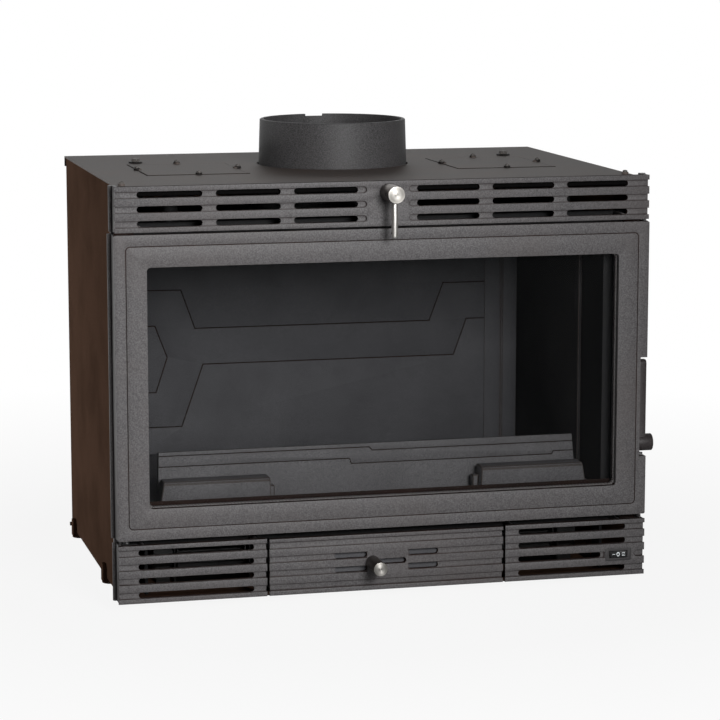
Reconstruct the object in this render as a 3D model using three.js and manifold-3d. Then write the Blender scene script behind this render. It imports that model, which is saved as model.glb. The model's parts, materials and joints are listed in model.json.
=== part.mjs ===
// A wood-burning fireplace insert: a welded fire chamber in a sheet-steel casing, closed at the
// front by a ribbed cast-iron facade with a glazed door, an ash drawer and warm-air grilles.
// Millimetres. X runs to the right as seen from the front, Y away from the viewer, Z up.
// Lengths along Y below are measured from the front face of the castings, and heights marked
// "above the facade" from the lower edge of the castings. The finished model stands on Z = 0
// with its origin under the middle of its overall depth.

import * as THREE from "three";
import { mergeVertices } from "three/addons/utils/BufferGeometryUtils.js";
import Module from "manifold-3d";

const wasm = await Module();
wasm.setup();

// ---------------------------------------------------------------- driving sizes

// clearances
const touch = 0.3; // gap between pieces that touch
const runFit = 0.3; // radial gap of a pin or shaft in its hole
const slideFit = 2.5; // gap on each side of the ash pan

// overall
const facadeWidth = 702;
const facadeHeight = 530;
const facadeOver = 11; // the castings beyond each side of the casing
const casingDepth = 500; // from the face of the castings to the outside of the back
const casingWidth = facadeWidth - 2 * facadeOver;
const footHeight = 8; // under the base plate
const frontFootY = 182;
const rearFootInset = 38; // from the outside of the back
const facadeLift = 6; // the castings end this far above the underside of the base plate
const knobReach = 43; // how far both turned knobs stand out of the facade

// facade castings
const plateThick = 8;
const ribRise = 2.5; // ribs above the grooves between them
const ribInset = 1.2; // the grooves end this much inside the ribs at both sides
const grilleHeight = 57.5;
const lowerHeight = 75;
const drawerWidth = 312;
const drawerGap = 3; // between the drawer and each lower grille
const lowerPanelWidth = (facadeWidth - drawerWidth) / 2 - drawerGap;
const doorGap = 3; // above the door
const doorGapBelow = 6.5;
const returnWall = 4; // thickness of the side returns
const returnDepth = 23; // from the face to the flange
const flangeThick = 7;
const flangeOut = 4.5; // the flange beyond the plate
const flangeGap = 0.5; // between the flanges of two castings
const grooveBand = 8.6; // height of a groove between two ribs
const slotHeight = 8;
const firstRow = 10.3; // middle of the lowest groove above a casting's lower edge
const rowPitch = 18.3;

// door
const stile = 41; // casting on each side of the window
const rail = 41; // casting above the window
const lowRail = 40;
const windowWidth = facadeWidth - 2 * stile;
const windowBottom = lowerHeight + doorGapBelow + lowRail; // above the facade
const windowHeight = facadeHeight - grilleHeight - doorGap - rail - windowBottom;
const windowCorner = 5;
const lineInset = 14; // the scored line from the edge of the door
const lineWidth = 1.2;
const lineDepth = 0.8;
const lineCorner = 6;
const glassLap = 12; // glass behind the edge of the window
const glassThick = 4;
const ropeThick = 9.7; // between the casting and the glass
const ropeWidth = 10;
const rimWall = 8; // raised rim that holds the glass
const rimDepth = 33; // from the face of the door to the back of the rim
const sealThick = 7.7; // rope that seals the door on the frame
const sealWidth = 6.4;
const clipThick = 2;
const hingeInset = 14; // hinge axis inside the edge of the door
const hingeX = facadeWidth / 2 - hingeInset;
const hingeY = 20;
const hingeLug = 6.3; // half the width of the lugs around the pins
const hingePinRadius = 4;
const hingeReach = 38; // pin inside the door and its lug

// door handle and latch
const handleAxisY = 14;
const handleAxisZ = windowBottom + 53.5; // above the facade
const handleBossRadius = 11.2;
const handleBossLength = 19.9;
const handleBarWidth = 9.5;
const handleBarDepth = 15;
const handleReach = 111; // from its axis to the end of the bar
const handleBarTop = handleAxisZ + handleReach;
const notchDepth = 9; // notch in the edge of the door for the handle
const notchBottom = handleAxisZ - 16;
const notchTop = handleBarTop + 4.6;
const latchRadius = 4;
const latchThick = 4;
const latchArm = 10; // height of the arm

// frame behind the door
const frameThick = 8.7;
const frameBottom = lowerHeight - 9; // above the facade
const frameTop = facadeHeight - 50;
const frameSideGap = 1.5; // to the sheet of the casing

// casing
const sheet = 2.5;
const topThick = 2;
const basePlate = 5;
const lidDrop = 3; // the top plate below the upper edge of the castings
const lidHeight = facadeHeight - lidDrop;
const lidOver = 2; // the top plate beyond the sides and the back
const lidLip = 14;
const coverWidth = 132;
const coverDepth = 160;
const coverInset = 129.5; // middle of each outlet cover from the casing's side
const coverX = casingWidth / 2 - coverInset;
const coverSeam = 0.6;
const coverTab = 6.5; // radius of the lugs that carry the cover's screws
const screwRadius = 4.2;
const boltRadius = 3;

// flue
const backSpace = 72; // from the chamber to the outside of the casing
const flueY = casingDepth - backSpace - 123;
const coverY = flueY - 48;
const boltY = flueY + 61;
const flueRadius = 100; // for a 200 mm pipe
const flueWall = 5.5;
const flueTaper = 1.5; // the socket is wider at its root
const flueTop = 588; // above the facade
const flueFlange = 112;
const flueFlangeThick = 7.7;
const flueHoleGap = 2.2;
const flueNotchWidth = 25;
const flueNotchDepth = 3;

// damper
const damperZ = facadeHeight - 14; // axis above the facade
const damperShaft = 4;
const damperKnob = 11;
const damperRod = 4;
const damperRodLap = 8.5; // the rod hangs this far over the door
const damperRodY = 33; // in front of the facade
const bladeRadius = 91;
const bladeHalfWidth = 69;
const bladeThick = 3;
const bladeHub = 7.5;

// fire chamber
const sideAirWay = 31; // from the chamber to the outside of the casing
const shellWall = 4;
const roofThick = 9.7;
const roofSpace = 55; // warm-air space between the chamber and the top plate
const floorTop = lowerHeight + 35;
const floorThick = 12;
const linerThick = 4.4;
const linerFront = 134;
const linerDrop = 5.3; // the linings end below the chamber's roof
const mouthStep = 2; // the frame's mouth is this much narrower than the chamber
const mouthDrop = 15.3; // from the chamber's roof to the top of the mouth
const backPlateInset = 16; // its face from the outside of the chamber
const backPlateThick = 8;
const columnWidth = 48.5;
const columnPlay = 0.8;
const baffleThick = 8;
const baffleFront = 160;
const baffleDropBack = 67; // from the top of the linings to its underside
const baffleDropFront = 31;
const grateWidth = 220;
const grateDepth = 160;
const grateY = 250; // middle of the grate
const grateThick = 5.7;
const grateLedge = 6;
const guardPlay = 19.3; // from each end of the log guard to the side lining
const guardHeight = 63;
const guardThick = 10;
const guardY = 90; // front of its foot
const guardLean = 8; // degrees
const blockInner = 141;
const blockPlay = 18.3;
const blockFlare = 6; // the outer end is this much longer at the foot
const blockHeight = 33;
const blockDepth = 27;
const blockFront = 54;

// ash drawer and air shutter
const panSheet = 1.5;
const panFront = 14;
const panBehind = 44; // from the pan to the outside of the chamber's back
const panDepth = casingDepth - backSpace - panBehind - panFront;
const airWayWidth = 190;
const airWayHeight = 26;
const panHeight = 56;
const chuteSheet = 2;
const chutePlay = 5; // the chute's inside is narrower than the drawer's front on each side
const shutterWidth = 194;
const shutterHeight = 44;
const shutterThick = 2;
const shutterTravel = 40;
const shutterKnobRadius = 9;
const shutterKnobX = -20;
const shutterStem = 3;
const airSlotZ = firstRow + rowPitch + 8.4; // middle of the knob's slot above the facade

// switch
const switchX = facadeWidth / 2 - 36.5;
const bezelWidth = 35;
const bezelHeight = 16;
const bezelRise = 1.5;
const switchWidth = 28;
const switchHeight = 12;
const switchDepth = 24;

// convection blowers
const rotorRadius = 22;
const rotorBlades = 12;
const blowerGap = 8.5; // from the chute to the case of the blower
const rotorY = 122;
const rotorZ = 36; // above the facade
const rotorShaft = 3;
const motorRadius = 21;
const motorLength = 26;
const caseGap = 3; // between the rotor and its case
const caseSheet = 1.5;
const motorRoom = 16.2; // from the motor to the wall of the chamber
const rotorInner = drawerWidth / 2 - chutePlay + chuteSheet + blowerGap + caseSheet + caseGap;

// mains cable gland
const glandX = 70 - casingWidth / 2;
const glandZ = 45; // above the facade
const glandRadius = 8;
const glandBore = 3.6;

// ---------------------------------------------------------------- derived places

const facadeZ = footHeight + facadeLift; // lower edge of the castings above the floor
const halfFacade = facadeWidth / 2;
const halfCasing = casingWidth / 2;
const frameWidth = casingWidth - 2 * (sheet + frameSideGap);
const at = (height) => facadeZ + height;
const baseTop = footHeight + basePlate;
const frameFront = rimDepth + touch + sealThick + touch;
const frameBack = frameFront + frameThick;
const casingFront = frameFront;
const lidTop = at(lidHeight);
const lidUnder = lidTop - topThick;
const doorBottom = at(lowerHeight + doorGapBelow);
const grilleBottom = at(facadeHeight - grilleHeight);
const doorTop = grilleBottom - doorGap;
const doorHeight = doorTop - doorBottom;
const flangeBack = returnDepth + flangeThick;
const windowLow = at(windowBottom);
const windowMid = windowLow + windowHeight / 2;
const doorMid = (doorBottom + doorTop) / 2;
const glassFront = plateThick + touch + ropeThick + touch;
const glassBack = glassFront + glassThick;
const glassWidth = windowWidth + 2 * glassLap;
const glassHeight = windowHeight + 2 * glassLap;
const rimInnerWidth = glassWidth + 2;
const rimInnerHeight = glassHeight + 2;
const rimWidth = rimInnerWidth + 2 * rimWall;
const rimHeight = rimInnerHeight + 2 * rimWall;
const halfShell = halfCasing - sideAirWay;
const shellInner = halfShell - shellWall;
const shellBack = casingDepth - backSpace;
const shellFront = frameBack + touch;
const linerInner = shellInner - touch - linerThick;
const backPlateWidth = 2 * (linerInner - columnPlay - columnWidth - touch);
const backPlateFront = shellBack - backPlateInset;
const boltX = halfShell - 46;
const rotorLength =
  shellInner - motorRoom - motorLength - touch - caseSheet - caseGap - rotorInner;
const floorZ = at(floorTop);
const floorUnder = floorZ - floorThick;
const roofTop = lidUnder - roofSpace;
const roofUnder = roofTop - roofThick;
const linerTop = roofUnder - linerDrop;
const mouthWidth = 2 * (shellInner - mouthStep);
const mouthLow = floorZ + 2;
const mouthHigh = roofUnder - mouthDrop;
const damperHeight = at(damperZ);
const overallMiddle = (casingDepth + 3 - knobReach) / 2;

// ---------------------------------------------------------------- materials

const material = (color, roughness, metalness) =>
  new THREE.MeshStandardMaterial({ color, roughness, metalness });
const facadeIron = () => material(0x5b5b5c, 0.8, 0.35);
const chamberIron = () => material(0x39393a, 0.85, 0.3);
const flueIron = () => material(0x353536, 0.8, 0.35);
const casingSteel = () => material(0x3a2e27, 0.6, 0.4);
const plainSteel = () => material(0x8d8f92, 0.45, 0.8);
const stainless = () => material(0xb9b6b0, 0.3, 1);
const rope = () => material(0x2b2a29, 0.95, 0);
const blackPlastic = () => material(0x111112, 0.45, 0);

// ---------------------------------------------------------------- solids

function solid(geometry) {
  let plain = geometry.index ? geometry : geometry.clone();
  plain = plain.clone();
  plain.deleteAttribute("normal");
  plain.deleteAttribute("uv");
  plain = mergeVertices(plain, 1e-4);
  const mesh = new wasm.Mesh({
    numProp: 3,
    vertProperties: new Float32Array(plain.attributes.position.array),
    triVerts: new Uint32Array(plain.index.array),
  });
  return new wasm.Manifold(mesh);
}

function geometryOf(body) {
  const mesh = body.getMesh();
  const geometry = new THREE.BufferGeometry();
  geometry.setAttribute("position", new THREE.BufferAttribute(mesh.vertProperties, 3));
  geometry.setIndex(new THREE.BufferAttribute(mesh.triVerts, 1));
  geometry.computeVertexNormals();
  return geometry;
}

function box(x0, x1, y0, y1, z0, z1) {
  const geometry = new THREE.BoxGeometry(x1 - x0, y1 - y0, z1 - z0);
  geometry.translate((x0 + x1) / 2, (y0 + y1) / 2, (z0 + z1) / 2);
  return solid(geometry);
}

// A shape drawn across two axes and drawn out along the third.
const turnFor = {
  X: new THREE.Matrix4().makeBasis(
    new THREE.Vector3(0, 1, 0),
    new THREE.Vector3(0, 0, 1),
    new THREE.Vector3(1, 0, 0),
  ),
  Y: new THREE.Matrix4().makeBasis(
    new THREE.Vector3(1, 0, 0),
    new THREE.Vector3(0, 0, 1),
    new THREE.Vector3(0, -1, 0),
  ),
  Z: new THREE.Matrix4(),
};

function prism(axis, shape, from, to, curveSegments = 4) {
  const geometry = new THREE.ExtrudeGeometry(shape, {
    depth: to - from,
    bevelEnabled: false,
    curveSegments,
  });
  geometry.applyMatrix4(turnFor[axis]);
  if (axis === "X") geometry.translate(from, 0, 0);
  if (axis === "Y") geometry.translate(0, to, 0);
  if (axis === "Z") geometry.translate(0, 0, from);
  return solid(geometry);
}

function rod(axis, radius, from, to, a, b, sides = 20) {
  const geometry = new THREE.CylinderGeometry(radius, radius, to - from, sides);
  const middle = (from + to) / 2;
  if (axis === "X") geometry.rotateZ(Math.PI / 2).translate(middle, a, b);
  if (axis === "Y") geometry.translate(a, middle, b);
  if (axis === "Z") geometry.rotateX(Math.PI / 2).translate(a, b, middle);
  return solid(geometry);
}

// A profile of [radius, height] points turned about the vertical through (x, y).
function turned(profile, x, y, sides = 48) {
  const points = profile.map(([r, z]) => new THREE.Vector2(r, z));
  const geometry = new THREE.LatheGeometry(points, sides);
  geometry.rotateX(Math.PI / 2).translate(x, y, 0);
  return solid(geometry);
}

const joined = (first, ...others) => others.reduce((body, other) => body.add(other), first);
const cut = (first, ...others) => others.reduce((body, other) => body.subtract(other), first);

function outline(points) {
  return new THREE.Shape(points.map(([a, b]) => new THREE.Vector2(a, b)));
}

// A rectangle with rounded corners, centred on (a, b).
function panel(a, b, width, height, corner) {
  const shape = new THREE.Shape();
  const left = a - width / 2;
  const right = a + width / 2;
  const low = b - height / 2;
  const high = b + height / 2;
  const r = corner;
  shape.moveTo(left + r, low);
  shape.lineTo(right - r, low);
  shape.absarc(right - r, low + r, r, -Math.PI / 2, 0);
  shape.lineTo(right, high - r);
  shape.absarc(right - r, high - r, r, 0, Math.PI / 2);
  shape.lineTo(left + r, high);
  shape.absarc(left + r, high - r, r, Math.PI / 2, Math.PI);
  shape.lineTo(left, low + r);
  shape.absarc(left + r, low + r, r, Math.PI, 1.5 * Math.PI);
  return shape;
}

// A slot with round ends, from a0 to a1 at height b.
function slot(a0, a1, b, height) {
  const r = height / 2;
  const shape = new THREE.Shape();
  shape.moveTo(a0 + r, b - r);
  shape.lineTo(a1 - r, b - r);
  shape.absarc(a1 - r, b, r, -Math.PI / 2, Math.PI / 2);
  shape.lineTo(a0 + r, b + r);
  shape.absarc(a0 + r, b, r, Math.PI / 2, 1.5 * Math.PI);
  return shape;
}

// A closed band: a rounded rectangle with a smaller one taken out of it.
function band(a, b, width, height, wall, corner) {
  const shape = panel(a, b, width, height, corner);
  const inner = Math.max(corner - wall, 0.5);
  shape.holes.push(panel(a, b, width - 2 * wall, height - 2 * wall, inner));
  return shape;
}

// ---------------------------------------------------------------- the assembly

const insert = new THREE.Group();
insert.position.set(0, -overallMiddle, 0);

// A moving part is a group set at its own axis, in the group that carries it.
function carrier(parent, x, y, z) {
  const group = new THREE.Group();
  group.position.set(x, y, z);
  if (parent.userData.axis) group.position.sub(parent.userData.axis);
  group.userData.axis = new THREE.Vector3(x, y, z);
  parent.add(group);
  return group;
}

function piece(parent, name, body, finish) {
  const mesh = new THREE.Mesh(geometryOf(body), finish);
  mesh.name = name;
  if (parent.userData.axis) mesh.position.copy(parent.userData.axis).negate();
  parent.add(mesh);
  return mesh;
}

// ---------------------------------------------------------------- facade castings

// Heights of the grooves of a casting that starts at z.
const rows = (z, count) => Array.from({ length: count }, (_, k) => z + firstRow + k * rowPitch);

// The ribbed face: a plate with a raised layer that the grooves run through.
function ribbedPlate({ x0, x1, z0, z1, grooves, slots, inset0, inset1 }) {
  const face = outline([
    [x0 + inset0, z0],
    [x1 - inset1, z0],
    [x1 - inset1, z1],
    [x0 + inset0, z1],
  ]);
  face.holes.push(...slots.map((s) => slot(s.from, s.to, s.z, slotHeight)));
  const ribEnd = (x, inset) => box(x, x + inset + 1, 0, ribRise, z0, z1);
  const plate = joined(
    prism("Y", face, 0, plateThick, 4),
    ribEnd(x0, inset0),
    ribEnd(x1 - inset1 - 1, inset1),
  );
  return cut(plate, ...grooves.map((groove) => prism("Y", groove, -1, ribRise, 4)));
}

// The return that runs back from one side of a casting and ends in a rounded flange. The flange
// goes on past the casting's lower or upper edge to the next casting, so no light shows there.
function sideReturn(side, z0, z1, edge, pastLow = 0, pastHigh = 0) {
  const inner = edge - returnWall;
  const out = edge + flangeOut;
  const r = 2;
  const shape = new THREE.Shape();
  shape.moveTo(side * inner, plateThick - 1);
  shape.lineTo(side * edge, plateThick - 1);
  shape.lineTo(side * edge, returnDepth);
  shape.lineTo(side * (out - r), returnDepth);
  shape.lineTo(side * out, returnDepth + r);
  shape.lineTo(side * out, flangeBack - r);
  shape.lineTo(side * (out - r), flangeBack);
  shape.lineTo(side * inner, flangeBack);
  const [x0, x1] = [side * inner, side * (out - r)].sort((a, b) => a - b);
  return joined(
    prism("Z", shape, z0, z1),
    box(x0, x1, returnDepth, flangeBack, z0 - pastLow, z1 + pastHigh),
  );
}

// A post that carries a casting on the frame behind it.
const post = (x, z, radius) => rod("Y", radius, plateThick - 1, frameFront - touch, x, z, 12);

function topGrille() {
  const z0 = grilleBottom;
  const z1 = at(facadeHeight);
  const fieldHalf = 27.5; // plain field in the middle
  const slotLength = 83;
  const slotPitch = 100;
  const slotCentres = [2, 1, 0].map((k) => halfFacade - 71 - k * slotPitch);
  const grooves = [];
  const slots = [];
  for (const z of rows(z0, 3)) {
    for (const side of [-1, 1]) {
      const ends = [side * fieldHalf, side * (halfFacade + 20)].sort((a, b) => a - b);
      grooves.push(slot(ends[0], ends[1], z, grooveBand));
      for (const c of slotCentres) {
        slots.push({ from: side * c - slotLength / 2, to: side * c + slotLength / 2, z });
      }
    }
  }
  const face = ribbedPlate({
    x0: -halfFacade + 1, x1: halfFacade - 1, z0, z1, grooves, slots,
    inset0: ribInset, inset1: ribInset,
  });
  const edge = halfFacade - 1 - ribInset;
  const postX = halfFacade - 33;
  const bush = rod("Y", 8, plateThick - 1, plateThick + 6, 0, damperHeight, 24);
  return cut(
    joined(
      face,
      sideReturn(-1, z0, z1, edge, doorGap - flangeGap),
      sideReturn(1, z0, z1, edge, doorGap - flangeGap),
      post(-postX, z0 + 4, 3.5),
      post(postX, z0 + 4, 3.5),
      bush,
    ),
    rod("Y", damperShaft + runFit, -5, plateThick + 10, 0, damperHeight, 20),
  );
}

function lowerGrille(side) {
  const z0 = facadeZ;
  const z1 = at(lowerHeight);
  const outer = side * halfFacade;
  const inner = side * (halfFacade - lowerPanelWidth);
  const [x0, x1] = [outer, inner].sort((a, b) => a - b);
  const slotInner = Math.abs(inner) + (side < 0 ? 16.5 : 18.5);
  const slotOuter = halfFacade - 26;
  const switchSlotEnd = switchX - 23.5;
  const grooveEnd = switchX + 21.9; // the groove starts again beyond the switch
  const grooves = [];
  const slots = [];
  rows(z0, 4).forEach((z, row) => {
    const holdsSwitch = side > 0 && row === 1;
    const far = holdsSwitch ? switchSlotEnd : slotOuter;
    const [from, to] = [side * slotInner, side * far].sort((a, b) => a - b);
    slots.push({ from, to, z });
    if (holdsSwitch) {
      const stop = switchX - bezelWidth / 2 - 1;
      grooves.push(panel((x0 - 30 + stop) / 2, z, stop - x0 + 30, grooveBand, 0.5));
      grooves.push(slot(grooveEnd, x1 + 30, z, grooveBand));
    } else {
      grooves.push(slot(x0 - 30, x1 + 30, z, grooveBand));
    }
  });
  const face = ribbedPlate({
    x0, x1, z0, z1, grooves, slots,
    inset0: side < 0 ? ribInset : 1,
    inset1: side < 0 ? 1 : ribInset,
  });
  const postZ = z1 - 4;
  let body = joined(
    face,
    sideReturn(side, z0, z1, halfFacade - ribInset, 0, doorGapBelow - flangeGap),
    post(side * (halfFacade - 33), postZ, 3.5),
    post(side * (halfFacade - lowerPanelWidth + 12), postZ, 3.5),
  );
  if (side > 0) {
    const z = rows(z0, 4)[1];
    const half = switchWidth / 2 + touch;
    const high = switchHeight / 2 + touch;
    body = body.subtract(box(switchX - half, switchX + half, -5, 20, z - high, z + high));
  }
  return body;
}

// ---------------------------------------------------------------- door

function doorFrame() {
  const edge = halfFacade;
  const plate = panel(0, doorMid, 2 * edge, doorHeight, 2);
  plate.holes.push(panel(0, windowMid, windowWidth, windowHeight, windowCorner));
  const line = band(
    0, doorMid, 2 * (edge - lineInset), doorHeight - 2 * lineInset, lineWidth, lineCorner,
  );
  const rim = band(0, windowMid, rimWidth, rimHeight, rimWall, 6);
  const hingeBoss = (z0, z1) =>
    box(-hingeX - hingeLug, -hingeX + hingeLug, plateThick - 1, hingeY + 7, z0, z1);
  const pinHole = (z0, z1) =>
    rod("Z", hingePinRadius + runFit, z0, z1, -hingeX, hingeY, 20);
  const notchX = edge - notchDepth;
  const latchLug = box(
    rimWidth / 2 - 0.5, notchX - 0.5, plateThick - 1, handleAxisY + 8.5,
    at(handleAxisZ) - 10, at(handleAxisZ) + 10,
  );
  const hookRoom = box(
    rimWidth / 2, rimWidth / 2 + latchThick + 2 * touch + 0.8, plateThick, frameFront,
    at(handleAxisZ) - 20, at(handleAxisZ) + 20,
  );
  const ringed = joined(
    prism("Y", plate, 0, plateThick, 4),
    prism("Y", rim, plateThick - 1, rimDepth, 3),
    sideReturn(-1, doorBottom, doorTop, edge),
    sideReturn(1, doorBottom, doorTop, edge),
    hingeBoss(doorTop - hingeReach + 8, doorTop - 1),
    hingeBoss(doorBottom + 1, doorBottom + hingeReach - 8),
    latchLug,
  );
  return cut(
    ringed,
    prism("Y", line, -1, lineDepth, 3),
    pinHole(doorTop - hingeReach + 10, doorTop + 5),
    pinHole(doorBottom - 5, doorBottom + hingeReach - 10),
    box(notchX, edge + 20, -5, flangeBack + 5, at(notchBottom), at(notchTop)),
    hookRoom,
    rod("X", latchRadius + runFit, rimWidth / 2, edge, handleAxisY, at(handleAxisZ), 20),
  );
}

function door() {
  const body = carrier(insert, -hingeX, hingeY, doorBottom);
  piece(body, "door_frame", doorFrame(), facadeIron());

  const pane = panel(0, windowMid, glassWidth, glassHeight, 3);
  const glass = material(0x6f7376, 0.05, 0);
  glass.transparent = true;
  glass.opacity = 0.3;
  piece(body, "door_glass", prism("Y", pane, glassFront, glassBack, 3), glass);

  const bead = band(
    0, windowMid, windowWidth + 2 * ropeWidth, windowHeight + 2 * ropeWidth, ropeWidth - 0.6, 6,
  );
  piece(body, "glass_rope", prism("Y", bead, plateThick + touch, glassFront - touch, 3), rope());

  const sealMiddle = rimWall - sealWidth;
  const seal = band(0, windowMid, rimWidth - sealMiddle, rimHeight - sealMiddle, sealWidth, 6);
  const sealFront = rimDepth + touch;
  piece(body, "door_rope", prism("Y", seal, sealFront, sealFront + sealThick, 3), rope());

  for (const [name, side] of [["glass_clip_left", -1], ["glass_clip_right", 1]]) {
    const outer = rimInnerWidth / 2 - touch;
    const inner = windowWidth / 2 + 1;
    const [x0, x1] = [side * inner, side * outer].sort((a, b) => a - b);
    const back = glassBack + touch + clipThick;
    const [f0, f1] = [side * (outer - clipThick), side * outer].sort((a, b) => a - b);
    let clip = box(x0, x1, glassBack + touch, back, windowLow + 4, windowLow + windowHeight - 4);
    clip = clip.add(box(f0, f1, back - 0.5, rimDepth - 1, windowLow + 4, windowLow + windowHeight - 4));
    for (const share of [0.12, 0.5, 0.88]) {
      const z = windowLow + windowHeight * share;
      clip = clip.add(rod("Y", 3.4, back - 0.5, back + 2, (x0 + x1) / 2, z, 12));
    }
    piece(body, name, clip, plainSteel());
  }

  const pinLow = [doorBottom - doorGapBelow - 6, doorBottom + hingeReach - 10 - touch];
  const pinHigh = [doorTop - hingeReach + 10 + touch, doorTop + doorGap + 6];
  const pin = ([z0, z1]) => rod("Z", hingePinRadius, z0, z1, -hingeX, hingeY);
  piece(body, "hinge_pin_bottom", pin(pinLow), plainSteel());
  piece(body, "hinge_pin_top", pin(pinHigh), plainSteel());
  return body;
}

// The handle turns about its boss, whose shaft carries the hook that holds the door shut.
function doorHandle(doorBody) {
  const z = at(handleAxisZ);
  const bossX = halfFacade - notchDepth + 2 * touch;
  const body = carrier(doorBody, bossX, handleAxisY, z);
  const top = at(handleBarTop);
  const bar = new THREE.Shape();
  const back = handleAxisY + handleBarDepth / 2;
  const front = handleAxisY - handleBarDepth / 2;
  const r = 5;
  bar.moveTo(front, z);
  bar.lineTo(back, z);
  bar.lineTo(back, top - r);
  bar.absarc(back - r, top - r, r, 0, Math.PI / 2);
  bar.lineTo(front + r, top);
  bar.absarc(front + r, top - r, r, Math.PI / 2, Math.PI);
  const barX = bossX + 0.4;
  const handle = cut(
    joined(
      rod("X", handleBossRadius, bossX, bossX + handleBossLength, handleAxisY, z, 32),
      prism("X", bar, barX, barX + handleBarWidth, 4),
    ),
    rod("X", latchRadius + runFit, bossX - 1, bossX + 10, handleAxisY, z, 20),
  );
  piece(body, "handle", handle, facadeIron());

  const hookX = rimWidth / 2 + touch;
  const noseFront = frameBack + 0.6;
  const noseBack = noseFront + 6;
  const noseDrop = 12;
  const hookShape = outline([
    [handleAxisY, z - latchArm / 2],
    [noseFront, z - latchArm / 2],
    [noseFront, z - latchArm / 2 - noseDrop],
    [noseBack, z - latchArm / 2 - noseDrop],
    [noseBack, z + latchArm / 2],
    [handleAxisY, z + latchArm / 2],
  ]);
  const latch = joined(
    prism("X", hookShape, hookX, hookX + latchThick),
    rod("X", handleAxisY - plateThick - touch, hookX, hookX + latchThick, handleAxisY, z, 24),
    rod("X", latchRadius, hookX + 0.5, bossX + 10 - touch, handleAxisY, z, 20),
  );
  piece(body, "latch_shaft", latch, plainSteel());
}

// ---------------------------------------------------------------- frame behind the door

function frontFrame() {
  const midZ = at((frameBottom + frameTop) / 2);
  const plate = panel(0, midZ, frameWidth, frameTop - frameBottom, 2);
  plate.holes.push(panel(0, (mouthLow + mouthHigh) / 2, mouthWidth, mouthHigh - mouthLow, 8));
  const lug = (z0) =>
    joined(
      box(-hingeX - hingeLug, -frameWidth / 2 + 12, hingeY - 8, frameFront - touch, z0, z0 + 6),
      box(-frameWidth / 2 + 1, -frameWidth / 2 + 12, hingeY - 8, frameFront + 1, z0, z0 + 6),
    );
  const lugLow = doorBottom - doorGapBelow - 6.5;
  const lugHigh = doorTop + doorGap + 0.5;
  const hole = (z0) => rod("Z", hingePinRadius + runFit, z0 - 1, z0 + 7, -hingeX, hingeY, 20);
  // the hook of the latch swings through this notch and catches behind its lower edge
  const hookX = rimWidth / 2 + touch;
  const notchLow = at(handleAxisZ) - latchArm / 2 - 2;
  const notchHigh = at(handleAxisZ) + 56;
  const notch = box(
    hookX - 1, frameWidth / 2 + 2, frameFront - 1, frameBack + 1, notchLow, notchHigh,
  );
  return cut(
    joined(prism("Y", plate, frameFront, frameBack, 3), lug(lugLow), lug(lugHigh)),
    hole(lugLow),
    hole(lugHigh),
    notch,
  );
}

// ---------------------------------------------------------------- casing

function casingSide(side) {
  const [x0, x1] = [side * (halfCasing - sheet), side * halfCasing].sort((a, b) => a - b);
  return box(x0, x1, casingFront, casingDepth, footHeight, lidUnder - touch);
}

const casingInner = halfCasing - sheet - touch;

function casingBack() {
  const sheetBody = box(
    -casingInner, casingInner, casingDepth - sheet, casingDepth, baseTop + touch, lidUnder - touch,
  );
  return sheetBody.subtract(
    rod("Y", glandRadius + touch, casingDepth - 10, casingDepth + 10, glandX, at(glandZ), 20),
  );
}

function casingBase() {
  const plate = box(-casingInner, casingInner, casingFront - 14, casingDepth + 3, footHeight, baseTop);
  const rearLip = box(
    -halfCasing - 3, halfCasing + 3, casingDepth + touch, casingDepth + 3, footHeight, baseTop,
  );
  return plate.add(rearLip);
}

const coverScrews = (x) => [
  [x - coverWidth / 2, coverY],
  [x + coverWidth / 2, coverY],
  [x, coverY - coverDepth / 2],
  [x, coverY + coverDepth / 2],
];

// A cover's outline with the lugs of its screws, grown all round, between two heights.
function coverOutline(x, grow, z0, z1) {
  const halfWidth = coverWidth / 2 + grow;
  const halfDepth = coverDepth / 2 + grow;
  return joined(
    box(x - halfWidth, x + halfWidth, coverY - halfDepth, coverY + halfDepth, z0, z1),
    ...coverScrews(x).map(([sx, sy]) => rod("Z", coverTab + grow, z0, z1, sx, sy, 12)),
  );
}

function casingTop() {
  const lid = box(
    -halfCasing - lidOver, halfCasing + lidOver, plateThick + touch, casingDepth + lidOver,
    lidUnder, lidTop,
  );
  const rearLip = box(
    -halfCasing - lidOver, halfCasing + lidOver, casingDepth + touch, casingDepth + lidOver,
    lidTop - lidLip, lidTop,
  );
  const frontLip = box(
    -halfCasing + 6, halfCasing - 6, plateThick + touch, plateThick + touch + 1.5,
    lidTop - 7, lidTop,
  );
  const frontScrew = (side) =>
    joined(
      rod("Z", 4.5, lidTop - 0.5, lidTop + 3, side * (halfCasing - 7), casingFront + 6, 16),
      rod("Z", 2.5, lidUnder - 8, lidUnder + 0.5, side * (halfCasing - 7), casingFront + 6, 10),
    );
  const coverHole = (x) => coverOutline(x, coverSeam, lidUnder - 2, lidTop + 2);
  return cut(
    joined(lid, rearLip, frontLip, frontScrew(-1), frontScrew(1)),
    rod("Z", flueRadius + flueTaper + flueHoleGap, lidUnder - 5, lidTop + 5, 0, flueY, 48),
    coverHole(-coverX),
    coverHole(coverX),
    rod("Z", boltRadius + touch, lidUnder - 5, lidTop + 5, -boltX, boltY, 16),
    rod("Z", boltRadius + touch, lidUnder - 5, lidTop + 5, boltX, boltY, 16),
    box(-10, 10, plateThick, plateThick + 3, lidTop - 8, lidUnder),
  );
}

function outletCover(x) {
  const head = [[0, lidTop - 0.5], [screwRadius, lidTop - 0.5], [screwRadius, lidTop + 1.2],
    [screwRadius * 0.6, lidTop + 2.6], [0, lidTop + 2.8]];
  const screws = coverScrews(x).map(([sx, sy]) => turned(head, sx, sy, 12));
  return joined(coverOutline(x, 0, lidUnder, lidTop), ...screws);
}

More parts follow.
